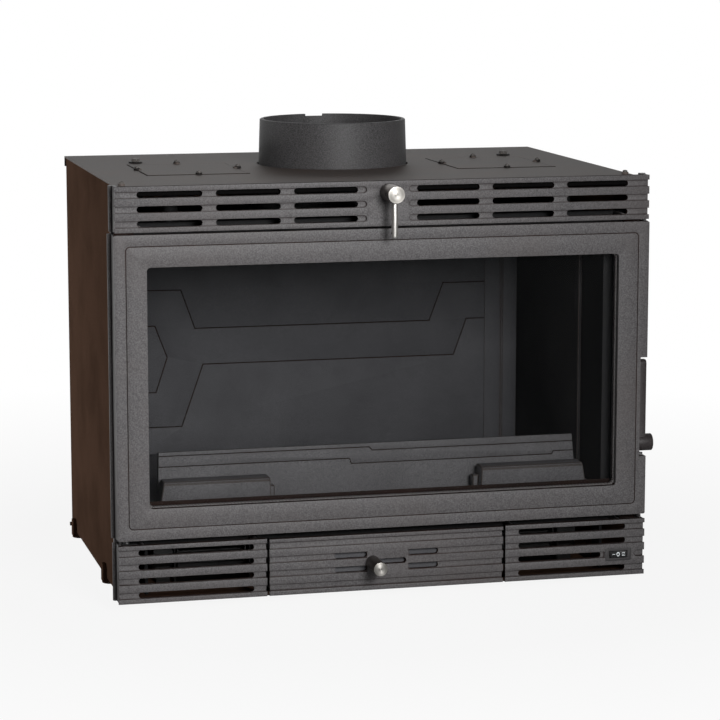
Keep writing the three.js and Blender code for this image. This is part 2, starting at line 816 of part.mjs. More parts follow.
function topBolt(x) {
  const washer = 9.5;
  const head = 5.8;
  const low = roofTop + 12;
  const seat = lidTop + touch;
  return turned(
    [[0, low], [boltRadius, low], [boltRadius, seat], [washer, seat], [washer, seat + 1.6],
      [head, seat + 1.6], [head, seat + 5.4], [head - 0.8, seat + 6], [0, seat + 6]],
    x, boltY, 6 * 4,
  );
}

function foot(side, y) {
  const pad = 13;
  const x = side * (halfCasing - 8);
  const outer = halfCasing + touch;
  const thick = 4.7;
  const rise = 22;
  const [x0, x1] = [side * outer, side * (outer + thick)].sort((a, b) => a - b);
  return joined(
    rod("Z", pad, 0, footHeight - touch, x, y, 28),
    box(x0, x1, y - 9, y + 9, 2, rise - 3),
    rod("X", 9, x0, x1, y, rise - 3, 20).intersect(box(x0, x1, y - 9, y + 9, rise - 3.5, rise + 4)),
  );
}

function cableGland() {
  const z = at(glandZ);
  const outside = casingDepth;
  const profile = [
    [glandBore, outside - 10], [glandRadius, outside - 10], [glandRadius, outside + touch],
    [13, outside + touch], [13, outside + 2.4], [7, outside + 2.9], [glandBore, outside + 2.9],
    [glandBore, outside - 10],
  ];
  const geometry = new THREE.LatheGeometry(profile.map(([r, y]) => new THREE.Vector2(r, y)), 24);
  geometry.translate(glandX, 0, z);
  return solid(geometry);
}

// ---------------------------------------------------------------- fire chamber

function fireboxShell() {
  const low = baseTop + touch;
  const high = roofUnder - touch;
  const u = outline([
    [-halfShell, shellFront], [-shellInner, shellFront],
    [-shellInner, shellBack - shellWall], [shellInner, shellBack - shellWall],
    [shellInner, shellFront], [halfShell, shellFront],
    [halfShell, shellBack], [-halfShell, shellBack],
  ]);
  const walls = prism("Z", u, low, high);
  const airWindow = box(-halfShell - 5, halfShell + 5, 80, shellBack - 40, low + 8, floorUnder - 14);
  return walls.subtract(airWindow);
}

function fireboxFloor() {
  const plate = box(
    -shellInner + touch, shellInner - touch, shellFront, shellBack - shellWall - touch,
    floorUnder, floorZ,
  );
  const pocket = box(
    -grateWidth / 2, grateWidth / 2, grateY - grateDepth / 2, grateY + grateDepth / 2,
    floorZ - grateThick - touch, floorZ + 1,
  );
  const throat = box(
    -grateWidth / 2 + grateLedge, grateWidth / 2 - grateLedge,
    grateY - grateDepth / 2 + grateLedge, grateY + grateDepth / 2 - grateLedge,
    floorUnder - 1, floorZ,
  );
  return cut(plate, pocket, throat);
}

function grate() {
  const w = grateWidth / 2 - 1;
  const d = grateDepth / 2 - 1;
  const shape = panel(0, grateY, 2 * w, 2 * d, 3);
  const barPitch = 20;
  const count = Math.floor((2 * w - 24) / barPitch);
  for (let k = 0; k < count; k += 1) {
    const x = (k - (count - 1) / 2) * barPitch;
    shape.holes.push(panel(x, grateY - d / 2, 9, d - 16, 4));
    shape.holes.push(panel(x, grateY + d / 2, 9, d - 16, 4));
  }
  return prism("Z", shape, floorZ - grateThick, floorZ, 1);
}

function fireboxRoof() {
  const plate = box(-halfShell, halfShell, shellFront, shellBack, roofUnder, roofTop);
  const pillar = (x, y) => rod("Z", 10, roofTop - 1, lidUnder - touch, x, y, 16);
  return cut(
    joined(
      plate,
      pillar(-boltX, boltY),
      pillar(boltX, boltY),
      pillar(-boltX, 95),
      pillar(boltX, 95),
    ),
    rod("Z", flueRadius - flueWall, roofUnder - 1, roofTop + 1, 0, flueY, 48),
    rod("Z", boltRadius + touch, roofTop + 10, lidTop, -boltX, boltY, 16),
    rod("Z", boltRadius + touch, roofTop + 10, lidTop, boltX, boltY, 16),
  );
}

// Lines of the relief on the back plate, as X and height above the facade. They run off its edges.
const reliefSide = backPlateWidth / 2 + 9;
const reliefUpper = [
  [-reliefSide, 344], [-193.5, 343], [-174, 288], [168, 287.5], [188.5, 341.5],
  [reliefSide, 341.5],
];
const reliefLower = [
  [-reliefSide, 148.5], [-194, 148.5], [-163, 236.5], [204.5, 236.5], [223.5, 288.5],
  [reliefSide, 288.5],
];
const reliefEnd = [
  [-reliefSide, 293], [-231, 293], [-214, 248], [-230.5, 198.5], [-reliefSide, 198.5],
];

// A narrow cut along a line, as wide as a scribing tool.
function scored(points, front, depth, width) {
  const cuts = [];
  for (let k = 0; k + 1 < points.length; k += 1) {
    const [x0, z0] = points[k];
    const [x1, z1] = points[k + 1];
    const length = Math.hypot(x1 - x0, z1 - z0) + width;
    const geometry = new THREE.BoxGeometry(length, depth + 1, width);
    geometry.rotateY(-Math.atan2(z1 - z0, x1 - x0));
    geometry.translate((x0 + x1) / 2, front + (depth - 1) / 2, (z0 + z1) / 2);
    cuts.push(solid(geometry));
  }
  return joined(...cuts);
}

function fireback() {
  const plate = box(
    -backPlateWidth / 2, backPlateWidth / 2, backPlateFront, backPlateFront + backPlateThick,
    floorZ + touch, linerTop,
  );
  const lines = [reliefUpper, reliefLower, reliefEnd].map((line) =>
    scored(line.map(([x, z]) => [x, at(z)]), backPlateFront, 1.2, 1.6),
  );
  return cut(plate, ...lines);
}

function sideLiner(side) {
  const [x0, x1] = [side * linerInner, side * (linerInner + linerThick)].sort((a, b) => a - b);
  const plate = box(x0, x1, linerFront, shellBack - shellWall - touch, floorZ + touch, linerTop);
  // the ledge under the baffle
  const ledgeInner = linerInner - 10;
  const [l0, l1] = [side * ledgeInner, side * (linerInner + 1)].sort((a, b) => a - b);
  const shape = outline(baffleSlope(-7, -touch));
  return plate.add(prism("X", shape, l0, l1));
}

// The slope of the baffle as a band between two heights measured from its underside.
function baffleSlope(from, to) {
  const front = baffleFront;
  const back = backPlateFront - 2;
  const low = linerTop - baffleDropBack;
  const high = linerTop - baffleDropFront;
  return [[front, high + from], [back, low + from], [back, low + to], [front, high + to]];
}

function airColumn(side) {
  const inner = backPlateWidth / 2 + touch;
  const [x0, x1] = [side * inner, side * (inner + columnWidth)].sort((a, b) => a - b);
  const body = box(
    x0, x1, backPlateFront, shellBack - shellWall - touch, floorZ + touch, linerTop,
  );
  const mark = side * (inner + columnWidth * 0.49);
  const grooveBack = backPlateFront + 1.5;
  const groove = (x) =>
    box(x - 0.9, x + 0.9, backPlateFront - 1, grooveBack, floorZ, linerTop + 1);
  return cut(body, groove(mark), groove(mark + side * 3));
}

function baffle() {
  const half = linerInner - 2;
  return prism("X", outline(baffleSlope(0, baffleThick)), -half, half);
}

function logGuard(parent) {
  const half = linerInner - guardPlay;
  const z = floorZ + touch;
  const shape = outline([
    [-half - 3, 0], [half + 3, 0], [half, guardHeight], [-half, guardHeight],
  ]);
  // heights of the two stepped lines below the upper edge
  const end = half + 19;
  const upper = [[-end, 5], [0, 5], [4, 9.5], [end, 9.5]];
  const lower = [[-end, 19], [-27, 19], [-25, 26], [half - 29, 26], [half - 27, 22], [end, 22]];
  const line = (points) =>
    scored(points.map(([x, drop]) => [x, guardHeight - drop]), 0, 1, 1.2);
  const body = cut(
    prism("Y", shape, 0, guardThick),
    line(upper),
    line(lower),
  );
  const mesh = piece(parent, "log_guard", body, chamberIron());
  mesh.position.set(0, guardY, z);
  mesh.rotation.x = -THREE.MathUtils.degToRad(guardLean);
  mesh.position.z += guardThick * Math.sin(THREE.MathUtils.degToRad(guardLean));
}

function hearthBlock(side) {
  const z = floorZ + touch;
  const inner = side * blockInner;
  const outer = side * (linerInner - blockPlay);
  const ends = outline([
    [inner, z], [outer + side * blockFlare, z], [outer, z + blockHeight],
    [inner + side * 1.5, z + blockHeight],
  ]);
  const section = outline([
    [blockFront, z], [blockFront + blockDepth, z], [blockFront + blockDepth, z + blockHeight],
    [blockFront + 3, z + blockHeight], [blockFront, z + blockHeight - 3],
  ]);
  const lap = prism("X", section, -halfShell, halfShell);
  const [x0, x1] = [side * (blockInner - 7), side * (blockInner + 2)].sort((a, b) => a - b);
  const heel = box(x0, x1, blockFront + 14, blockFront + blockDepth, z, z + blockHeight - 13);
  return prism("Y", ends, blockFront, blockFront + blockDepth).intersect(lap).add(heel);
}

// ---------------------------------------------------------------- flue and damper

function flueCollar() {
  const bore = flueRadius - flueWall;
  const root = flueRadius + flueTaper;
  const low = roofTop + touch;
  const top = at(flueTop);
  const body = turned(
    [[bore, low], [flueFlange, low], [flueFlange, low + flueFlangeThick],
      [root, low + flueFlangeThick], [root, lidTop], [flueRadius - 0.4, top - 1],
      [flueRadius - 1.2, top], [bore, top], [bore, low]],
    0, flueY, 48,
  );
  return cut(
    body,
    box(-flueNotchWidth / 2 - 4, flueNotchWidth / 2 - 4, flueY + 60, flueY + 120,
      top - flueNotchDepth, top + 2),
    rod("Y", damperShaft + runFit, flueY - 120, flueY + 120, 0, damperHeight, 20),
  );
}

// The lever hangs from the knob; its shaft runs back through the grille into the flue.
function damper() {
  const body = carrier(insert, 0, 0, damperHeight);
  const rodBore = damperRod + runFit;
  const shaftBore = damperShaft + runFit;
  const knob = cut(
    rod("Y", damperKnob, -knobReach, -1.5, 0, damperHeight, 36),
    rod("Z", rodBore, damperHeight - damperKnob - 5, damperHeight - 3, 0, -damperRodY, 20),
    rod("Y", shaftBore, -20, 1, 0, damperHeight, 20),
  );
  piece(body, "damper_knob", knob, stainless());
  const lever = rod("Z", damperRod, doorTop - damperRodLap, damperHeight - 3 - touch, 0, -damperRodY, 20);
  piece(body, "damper_rod", lever, stainless());
  const shaftEnd = flueY + flueRadius - 2;
  const shaft = rod("Y", damperShaft, -20 + touch, shaftEnd, 0, damperHeight, 20);
  piece(body, "damper_shaft", shaft, plainSteel());
  const half = bladeThick / 2;
  const disc = rod("Z", bladeRadius, damperHeight - half, damperHeight + half, 0, flueY, 48)
    .intersect(box(-bladeHalfWidth, bladeHalfWidth, 0, casingDepth, damperHeight - 9, damperHeight + 9));
  const hub = rod("Y", bladeHub, flueY - bladeRadius + 5, flueY + bladeRadius - 5, 0, damperHeight, 16);
  const bore = rod("Y", shaftBore, flueY - 110, flueY + 110, 0, damperHeight, 20);
  piece(body, "damper_plate", disc.add(hub).subtract(bore), chamberIron());
}

// ---------------------------------------------------------------- ash drawer

function ashChute() {
  const inner = drawerWidth / 2 - chutePlay;
  const outer = inner + chuteSheet;
  const low = baseTop + touch;
  const y0 = shellFront;
  const y1 = panFront + panDepth + 12;
  const high = floorUnder - touch;
  const block = box(-outer, outer, y0, y1 + chuteSheet, low, high);
  return block.subtract(box(-inner, inner, y0 - 1, y1, low + chuteSheet, high + 1));
}

const airSlots = [
  { from: -70, to: -27 },
  { from: 28.5, to: 68.5 },
];

function drawerFront() {
  const half = drawerWidth / 2;
  const z0 = facadeZ;
  const z1 = at(lowerHeight - 1);
  const levels = rows(z0, 4);
  const grooves = levels.map((z) => slot(-half - 30, half + 30, z, grooveBand));
  const slots = [];
  for (const z of [levels[1], levels[2]]) {
    for (const s of airSlots) slots.push({ from: s.from, to: s.to, z });
  }
  const face = ribbedPlate({ x0: -half, x1: half, z0, z1, grooves, slots, inset0: 1, inset1: 1 });
  const island = box(-27, 28, 0, ribRise + 1, levels[1] - grooveBand / 2, levels[2] + grooveBand / 2);
  const knobSlot = slot(
    shutterKnobX - 5, shutterKnobX + shutterTravel + 5, at(airSlotZ), 2 * shutterStem + 1.4,
  );
  const guide = (z) => box(-122, 122, plateThick - 1, plateThick + 4, z, z + 3);
  const middle = at(airSlotZ);
  const mountPost = (x) => rod("Y", 7, plateThick - 1, panFront - touch, x, middle, 18);
  return cut(
    joined(
      face,
      island,
      guide(middle - shutterHeight / 2 - 3 - touch),
      guide(middle + shutterHeight / 2 + touch),
      mountPost(20 - half),
      mountPost(half - 20),
    ),
    prism("Y", knobSlot, -5, plateThick + 1, 5),
  );
}

function ashPan() {
  const half = drawerWidth / 2 - chutePlay - slideFit;
  const z0 = baseTop + touch + chuteSheet + touch;
  const y0 = panFront;
  const y1 = y0 + panDepth;
  const outer = box(-half, half, y0, y1, z0, z0 + panHeight);
  const inner = box(
    -half + panSheet, half - panSheet, y0 + panSheet, y1 - panSheet, z0 + panSheet, z0 + 90,
  );
  const airWay = panel(0, at(airSlotZ), airWayWidth, airWayHeight, 6);
  return cut(outer, inner, prism("Y", airWay, y0 - 1, y0 + panSheet + 1, 3));
}

function airShutter() {
  const middle = at(airSlotZ);
  const left = airSlots[0].from - shutterTravel - 8;
  const shape = panel(left + shutterWidth / 2, middle, shutterWidth, shutterHeight, 2);
  const levels = rows(facadeZ, 4);
  for (const z of [levels[1], levels[2]]) {
    for (const s of airSlots) {
      shape.holes.push(slot(s.from - shutterTravel, s.to - shutterTravel - 2, z, slotHeight));
    }
  }
  const front = plateThick + touch;
  return cut(
    prism("Y", shape, front, front + shutterThick, 4),
    rod("Y", shutterStem + touch, front - 1, front + 4, shutterKnobX, middle, 16),
  );
}

function ashDrawer() {
  const body = carrier(insert, 0, 0, facadeZ);
  piece(body, "drawer_front", drawerFront(), facadeIron());
  piece(body, "ash_pan", ashPan(), plainSteel());

  const register = carrier(body, shutterKnobX, 0, at(airSlotZ));
  piece(register, "air_shutter", airShutter(), facadeIron());
  const z = at(airSlotZ);
  const knob = joined(
    rod("Y", shutterKnobRadius, -knobReach, -1.5, shutterKnobX, z, 32),
    rod("Y", shutterStem, -2, plateThick + shutterThick + 1.5, shutterKnobX, z, 16),
  );
  piece(register, "shutter_knob", knob, stainless());
}

// ---------------------------------------------------------------- switch

function blowerSwitch() {
  const z = rows(facadeZ, 4)[1];
  const half = switchWidth / 2;
  const high = switchHeight / 2;
  const bezel = panel(switchX, z, bezelWidth, bezelHeight, 1.5);
  const mouth = box(switchX - half + 1.4, switchX + half - 1.4, -10, 12, z - high + 1.2, z + high - 1.2);
  const bodyBlock = box(switchX - half, switchX + half, -touch - 0.2, switchDepth, z - high, z + high);
  const housing = joined(prism("Y", bezel, -bezelRise - touch, -touch, 3), bodyBlock).subtract(mouth);
  piece(insert, "switch_body", housing, blackPlastic());

  const body = carrier(insert, switchX, 3, z);
  const wide = half - 1.4 - 1.3;
  const tall = high - 1.2 - 0.5;
  const face = new THREE.Shape();
  face.moveTo(switchX - wide, -2.4);
  face.quadraticCurveTo(switchX, 0.4, switchX + wide, -2.4);
  face.lineTo(switchX + wide - 2, 5);
  face.lineTo(switchX + 2, 9);
  face.lineTo(switchX - 2, 9);
  face.lineTo(switchX - wide + 2, 5);
  piece(body, "switch_rocker", prism("Z", face, z - tall, z + tall, 8), blackPlastic());
}

// ---------------------------------------------------------------- blowers

function blower(side) {
  const word = side < 0 ? "left" : "right";
  const z = at(rotorZ);
  const inner = side * rotorInner;
  const outer = side * (rotorInner + rotorLength);
  const span = (a, b) => [a, b].sort((p, q) => p - q);
  const [r0, r1] = span(inner, outer);

  // drum of thin blades between two end discs, on a shaft that runs into the motor
  const shaftOuter = outer + side * (caseGap + caseSheet + touch + motorLength - 4);
  const [s0, s1] = span(inner - side * 4, shaftOuter);
  const drum = [
    rod("X", rotorRadius, r0, r0 + 2, rotorY, z, 20),
    rod("X", rotorRadius, r1 - 2, r1, rotorY, z, 20),
    rod("X", rotorShaft, s0, s1, rotorY, z, 12),
  ];
  for (let k = 0; k < rotorBlades; k += 1) {
    const geometry = new THREE.BoxGeometry(r1 - r0 - 2, 1.2, 5);
    geometry.rotateX(0.5).translate(0, 0, rotorRadius - 3.4);
    geometry.rotateX((k / rotorBlades) * 2 * Math.PI);
    geometry.translate((r0 + r1) / 2, rotorY, z);
    drum.push(solid(geometry));
  }
  const rotor = carrier(insert, (r0 + r1) / 2, rotorY, z);
  piece(rotor, `blower_rotor_${word}`, joined(...drum), blackPlastic());

  // sheet case: open to the front, with its outlet to the back
  const wall = rotorRadius + caseGap;
  const low = baseTop + touch;
  const [c0, c1] = span(inner - side * caseGap, outer + side * caseGap);
  const sheetShape = outline([
    [rotorY - wall, z + wall - 8], [rotorY - wall + 8, z + wall], [rotorY + wall + 22, z + wall],
    [rotorY + wall + 22, z + wall + caseSheet], [rotorY - wall + 7, z + wall + caseSheet],
    [rotorY - wall - caseSheet, z + wall - 7],
  ]);
  const floorSheet = box(c0, c1, rotorY - wall, rotorY + wall + 22, low, low + caseSheet);
  const endPlate = (x) => {
    const [e0, e1] = span(x, x + side * caseSheet);
    return cut(
      box(e0, e1, rotorY - wall - caseSheet, rotorY + wall + 22, low, z + wall + caseSheet),
      rod("X", rotorShaft + runFit, e0 - 2, e1 + 2, rotorY, z, 14),
    );
  };
  const caseBody = joined(
    prism("X", sheetShape, c0, c1),
    floorSheet,
    endPlate(inner - side * (caseGap + caseSheet)),
    endPlate(outer + side * caseGap),
  );
  piece(insert, `blower_case_${word}`, caseBody, blackPlastic());

  const motorInner = outer + side * (caseGap + caseSheet + touch);
  const [m0, m1] = span(motorInner, motorInner + side * motorLength);
  const [b0, b1] = span(motorInner - side, motorInner + side * (motorLength - 3));
  const saddle = box(m0 + 4, m1 - 4, rotorY - 14, rotorY + 14, low, z);
  const motor = joined(rod("X", motorRadius, m0, m1, rotorY, z, 28), saddle)
    .subtract(rod("X", rotorShaft + runFit, b0, b1, rotorY, z, 14));
  piece(insert, `blower_motor_${word}`, motor, blackPlastic());
}

// ---------------------------------------------------------------- putting it together

piece(insert, "casing_left", casingSide(-1), casingSteel());
piece(insert, "casing_right", casingSide(1), casingSteel());
piece(insert, "casing_back", casingBack(), casingSteel());
piece(insert, "casing_base", casingBase(), casingSteel());
piece(insert, "casing_top", casingTop(), casingSteel());
piece(insert, "outlet_cover_left", outletCover(-coverX), casingSteel());
piece(insert, "outlet_cover_right", outletCover(coverX), casingSteel());
piece(insert, "top_bolt_left", topBolt(-boltX), plainSteel());
piece(insert, "top_bolt_right", topBolt(boltX), plainSteel());
piece(insert, "cable_gland", cableGland(), blackPlastic());

const footPlaces = { front: frontFootY, rear: casingDepth - rearFootInset };
for (const [row, y] of Object.entries(footPlaces)) {
  piece(insert, `foot_${row}_left`, foot(-1, y), casingSteel());
  piece(insert, `foot_${row}_right`, foot(1, y), casingSteel());
}

piece(insert, "front_frame", frontFrame(), chamberIron());
piece(insert, "firebox_shell", fireboxShell(), chamberIron());
piece(insert, "firebox_floor", fireboxFloor(), chamberIron());
piece(insert, "firebox_roof", fireboxRoof(), chamberIron());
piece(insert, "grate", grate(), chamberIron());
piece(insert, "fireback", fireback(), chamberIron());
piece(insert, "baffle", baffle(), chamberIron());
for (const [word, side] of [["left", -1], ["right", 1]]) {
  piece(insert, `side_liner_${word}`, sideLiner(side), chamberIron());
  piece(insert, `air_column_${word}`, airColumn(side), chamberIron());
  piece(insert, `hearth_block_${word}`, hearthBlock(side), chamberIron());
}
logGuard(insert);
piece(insert, "flue_collar", flueCollar(), flueIron());
piece(insert, "ash_chute", ashChute(), plainSteel());

piece(insert, "top_grille", topGrille(), facadeIron());
piece(insert, "lower_grille_left", lowerGrille(-1), facadeIron());
piece(insert, "lower_grille_right", lowerGrille(1), facadeIron());

const doorBody = door();
doorHandle(doorBody);
damper();
ashDrawer();
blowerSwitch();
blower(-1);
blower(1);

export default insert;
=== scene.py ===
# %% [markdown]
# # A fireplace insert in Blender
#
# The real object is a wood-burning insert: a welded fire chamber in a sheet-steel casing, closed
# at the front by ribbed iron castings and a door with a wide pane. Its solids come packed from
# CAD, in metres, with X to the right, Y to the back and Z up. This lesson dresses them: it softens
# the edges of the castings, models the small fittings again in finer form, and gives each surface
# the finish of the real one.

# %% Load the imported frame
import json
import math

import bpy
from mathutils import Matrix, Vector


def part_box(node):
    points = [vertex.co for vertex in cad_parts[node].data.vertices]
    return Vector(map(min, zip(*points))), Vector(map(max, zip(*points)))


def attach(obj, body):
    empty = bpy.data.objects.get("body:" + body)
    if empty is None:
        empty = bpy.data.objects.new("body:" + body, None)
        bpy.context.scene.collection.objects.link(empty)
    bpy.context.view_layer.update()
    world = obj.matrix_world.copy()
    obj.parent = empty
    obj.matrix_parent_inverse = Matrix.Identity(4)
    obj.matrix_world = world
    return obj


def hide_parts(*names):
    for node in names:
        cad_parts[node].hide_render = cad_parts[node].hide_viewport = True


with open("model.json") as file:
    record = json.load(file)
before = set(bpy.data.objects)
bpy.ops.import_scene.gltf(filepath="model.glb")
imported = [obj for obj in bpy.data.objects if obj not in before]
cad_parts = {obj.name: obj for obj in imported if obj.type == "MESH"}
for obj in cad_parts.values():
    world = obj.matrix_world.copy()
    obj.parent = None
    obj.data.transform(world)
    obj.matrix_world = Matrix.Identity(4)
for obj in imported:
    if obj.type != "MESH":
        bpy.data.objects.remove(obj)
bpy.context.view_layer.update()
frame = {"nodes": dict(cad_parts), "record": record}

bodies = frame["record"]["behaviour"]["bodies"]
body_of = {node: body for body, nodes in bodies.items() for node in nodes}
slot_of = {entry["node"]: entry["material_slot"] for entry in frame["record"]["subparts"]}

# %% [markdown]
# ## Colours and nodes
#
# Colours are written as they look on a screen, in sRGB hex, and a shader wants them linear, so one
# function turns them. A second small function adds a shader node, sets its values and plugs other
# nodes into it. Every material below is built with these two, so that each one reads as a list of
# what feeds what. A Mix node keeps sockets for numbers, vectors and colours side by side under the
# same names, so its colours are reached by their places, which get names here.

# %% Helpers for materials
mix_a, mix_b, mix_result = 6, 7, 2


def colour(text):
    """An sRGB hex colour such as #5a5a5b as linear RGBA."""
    channels = [int(text[k:k + 2], 16) / 255 for k in (1, 3, 5)]
    linear = [c / 12.92 if c <= 0.04045 else ((c + 0.055) / 1.055) ** 2.4 for c in channels]
    return (*linear, 1.0)


def add_node(tree, kind, values=None, links=None):
    """Adds a node. values are its properties and sockets, links are the outputs plugged into it."""
    node = tree.nodes.new(kind)
    for key, value in (values or {}).items():
        if isinstance(key, str) and hasattr(node, key):
            setattr(node, key, value)
        else:
            node.inputs[key].default_value = value
    for key, output in (links or {}).items():
        tree.links.new(output, node.inputs[key])
    return node


def new_material(name):
    """An empty node material and its output node."""
    material = bpy.data.materials.new(name)
    material.use_nodes = True
    material.node_tree.nodes.clear()
    output = material.node_tree.nodes.new("ShaderNodeOutputMaterial")
    return material, material.node_tree, output


print("white is", colour("#ffffff"))

# %% [markdown]
# ## Stove paint on iron and on sheet
#
# The castings are grey iron from a sand mould, sprayed with heat-resistant stove paint. The sand
# leaves a fine grain of about a millimetre, the matt paint follows it, and the eye sees a dense
# speckle of lighter and darker points. The casing is rolled sheet under the same kind of paint in
# brown-black, so its grain is finer and hardly raised. One recipe serves both, with the grain's
# size in millimetres: a noise on Object coordinates colours the paint, roughens it and raises it,
# and a slow second noise gives the cloudy patches of a sprayed coat. Where a crease is asked for,
# the shader looks for nearby walls with ambient occlusion and darkens the paint there to a dark
# brown: this is painted shade in the corners.

# %% The recipe for stove paint
# A dark brown: the primer, and also the colour of the painted shade in creases.
primer = "#2a2120"
patch_mm = 90


def stove_paint(
    name, dark, light, grain_mm, relief_mm, roughness, gloss,
    cloud=primer, cloudiness=0.0, crease_shade_mm=0.0,
):
    """Paint in two tones of grain, with clouds of a third colour and painted shade in its creases."""
    material, tree, output = new_material(name)
    place = add_node(tree, "ShaderNodeTexCoord").outputs["Object"]
    grain = add_node(
        tree, "ShaderNodeTexNoise",
        {"Scale": 1000 / grain_mm, "Detail": 2.0, "Roughness": 0.6}, {"Vector": place},
    )
    sharper = add_node(
        tree, "ShaderNodeMapRange",
        {"From Min": 0.34, "From Max": 0.68}, {"Value": grain.outputs[0]},
    )
    paint = add_node(
        tree, "ShaderNodeMix", {"data_type": "RGBA", mix_a: colour(dark), mix_b: colour(light)},
        {0: sharper.outputs[0]},
    )
    coat = add_node(
        tree, "ShaderNodeTexNoise",
        {"Scale": 1000 / patch_mm, "Detail": 4.0, "Roughness": 0.55}, {"Vector": place},
    )
    patches = add_node(
        tree, "ShaderNodeMapRange",
        {"From Min": 0.4, "From Max": 0.7, "To Max": cloudiness}, {"Value": coat.outputs[0]},
    )
    clouded = add_node(
        tree, "ShaderNodeMix", {"data_type": "RGBA", mix_b: colour(cloud)},
        {0: patches.outputs[0], mix_a: paint.outputs[mix_result]},
    )
    # Painted shade: ambient occlusion darkens the paint to dark brown in its creases.
    if crease_shade_mm:
        corner = add_node(
            tree, "ShaderNodeAmbientOcclusion",
            {"samples": 8, "only_local": True, "Distance": crease_shade_mm / 1000},
        )
        crease_shade = add_node(
            tree, "ShaderNodeMapRange",
            {"From Min": 0.64, "From Max": 0.94, "To Min": 1.0, "To Max": 0.0},
            {"Value": corner.outputs["AO"]},
        )
        clouded = add_node(
            tree, "ShaderNodeMix", {"data_type": "RGBA", mix_b: colour(primer)},
            {0: crease_shade.outputs[0], mix_a: clouded.outputs[mix_result]},
        )
    matt = add_node(
        tree, "ShaderNodeMapRange",
        {"To Min": roughness - 0.07, "To Max": roughness + 0.07}, {"Value": sharper.outputs[0]},
    )
    bump = add_node(
        tree, "ShaderNodeBump", {"Strength": 0.7, "Distance": relief_mm / 1000},
        {"Height": grain.outputs[0]},
    )
    shader = add_node(
        tree, "ShaderNodeBsdfPrincipled", {"IOR": 1.5, "Specular IOR Level": gloss},
        {
            "Base Color": clouded.outputs[mix_result],
            "Roughness": matt.outputs[0],
            "Normal": bump.outputs[0],
        },
    )
    tree.links.new(shader.outputs[0], output.inputs[0])
    return material


# Matt grey with a dense speckle, because every grain of sand catches the light by itself. Real
# grains are half as wide and would not show from where the camera stands.
facade_paint = stove_paint(
    "grey stove paint on sand-cast iron", "#494748", "#696768", 1.5, 0.35, 0.5, 0.2,
    cloud="#5a5554", cloudiness=0.4, crease_shade_mm=2.5,
)
# A warmer line along the edges, where the paint runs thin.
facade_edge = stove_paint(
    "stove paint thin over a cast edge", "#4a4342", "#65605e", 2.2, 0.15, 0.6, 0.3,
    cloud="#3f302c", cloudiness=0.9,
)
# Nearly black brown, painted shade for the walls and floors of grooves, slots, seams and
# joints, where no light comes back. The pane's printed band uses it too.
crease_shade_and_print = stove_paint(
    "brown primer in the creases of a casting", "#1d1614", "#2b221f", 1.8, 0.2, 0.8, 0.1,
    cloud="#35231e", cloudiness=0.5,
)
# A flatter and darker grey: these castings have been near a fire.
chamber_paint = stove_paint(
    "dark stove paint on chamber castings", "#47474a", "#5b5b5e", 1.5, 0.35, 0.7, 0.3,
    cloud="#3f3f42", cloudiness=0.6,
)
# The guard and its blocks stand behind the glass, so their grey is a tone lighter to read the same.
block_paint = stove_paint(
    "grey stove paint on the log guard", "#515052", "#706f71", 1.5, 0.4, 0.65, 0.3,
    cloud="#49484a", cloudiness=0.4, crease_shade_mm=2.0,
)
# The edges of the chamber's castings are browner than their faces, as those of the front are.
chamber_edge = stove_paint(
    "dark stove paint thin over an edge", "#3a3533", "#54504e", 2.2, 0.15, 0.65, 0.3,
    cloud="#3c322f", cloudiness=0.8,
)
# Flat black without a speckle: rolled plate has no grain of sand.
plate_paint = stove_paint(
    "black stove paint on welded plate", "#202021", "#303031", 1.2, 0.12, 0.75, 0.2,
)
# Sheet is smooth, so the eye sees an even brown with slow clouds from the spray gun.
casing_paint = stove_paint(
    "brown-black stove paint on rolled sheet", "#60493c", "#6d5446", 0.9, 0.04, 0.6, 0.0,
    cloud="#46352b", cloudiness=0.5,
)
# The same sheet seen along its surface reflects the grey of the room, and this reflection is
# painted into its colour.
top_paint_with_reflection = stove_paint(
    "grey-brown stove paint on the top sheet", "#554e4a", "#625c59", 0.9, 0.04, 0.6, 0.15,
    cloud="#635650", cloudiness=0.6,
)
# Darker and smoother than the front, so that a soft highlight runs down the middle of the collar.
collar_paint = stove_paint(
    "charcoal stove paint on the flue casting", "#302f30", "#585758", 1.4, 0.3, 0.56, 0.3,
    cloud="#3e3b3b", cloudiness=0.4,
)
print("paints:", ", ".join(m.name for m in bpy.data.materials if "paint" in m.name))

# %% [markdown]
# ## Bright and dark metals
#
# The rod and the knobs are stainless steel, the small clips and pins are zinc-plated, the ash pan
# and its chute are galvanised sheet, and shafts are plain machined steel. All of them show faint
# streaks or flakes, so one noise varies the tone and the polish together, and a Mapping node draws
# it out along an axis where a tool has left its marks. Metals keep the default IOR, and their
# colour does the work.

# %% Metals
def bare_metal(name, shade, bright, roughness, streak_mm, density=(1, 1, 1)):
    """Metal with a streaky finish. A density below 1 draws the streaks out along that axis."""
    material, tree, output = new_material(name)
    place = add_node(tree, "ShaderNodeTexCoord").outputs["Object"]
    laid = add_node(tree, "ShaderNodeMapping", {"Scale": density}, {"Vector": place})
    streaks = add_node(
        tree, "ShaderNodeTexNoise",
        {"Scale": 1000 / streak_mm, "Detail": 3.0}, {"Vector": laid.outputs[0]},
    )
    tone = add_node(
        tree, "ShaderNodeMix", {"data_type": "RGBA", mix_a: colour(shade), mix_b: colour(bright)},
        {0: streaks.outputs[0]},
    )
    polish = add_node(
        tree, "ShaderNodeMapRange",
        {"To Min": roughness * 0.75, "To Max": roughness * 1.3}, {"Value": streaks.outputs[0]},
    )
    shader = add_node(
        tree, "ShaderNodeBsdfPrincipled", {"Metallic": 1.0},
        {"Base Color": tone.outputs[mix_result], "Roughness": polish.outputs[0]},
    )
    tree.links.new(shader.outputs[0], output.inputs[0])
    return material


# Plating gives small pins and clips a light grey with a faint mottle.
zinc = bare_metal("zinc-plated steel", "#8d8e90", "#b4b4b4", 0.38, 3.0)
# Hot galvanising leaves flakes of zinc about a centimetre wide.
pan_sheet = bare_metal("galvanised sheet", "#7d8083", "#9b9ea0", 0.45, 9.0)
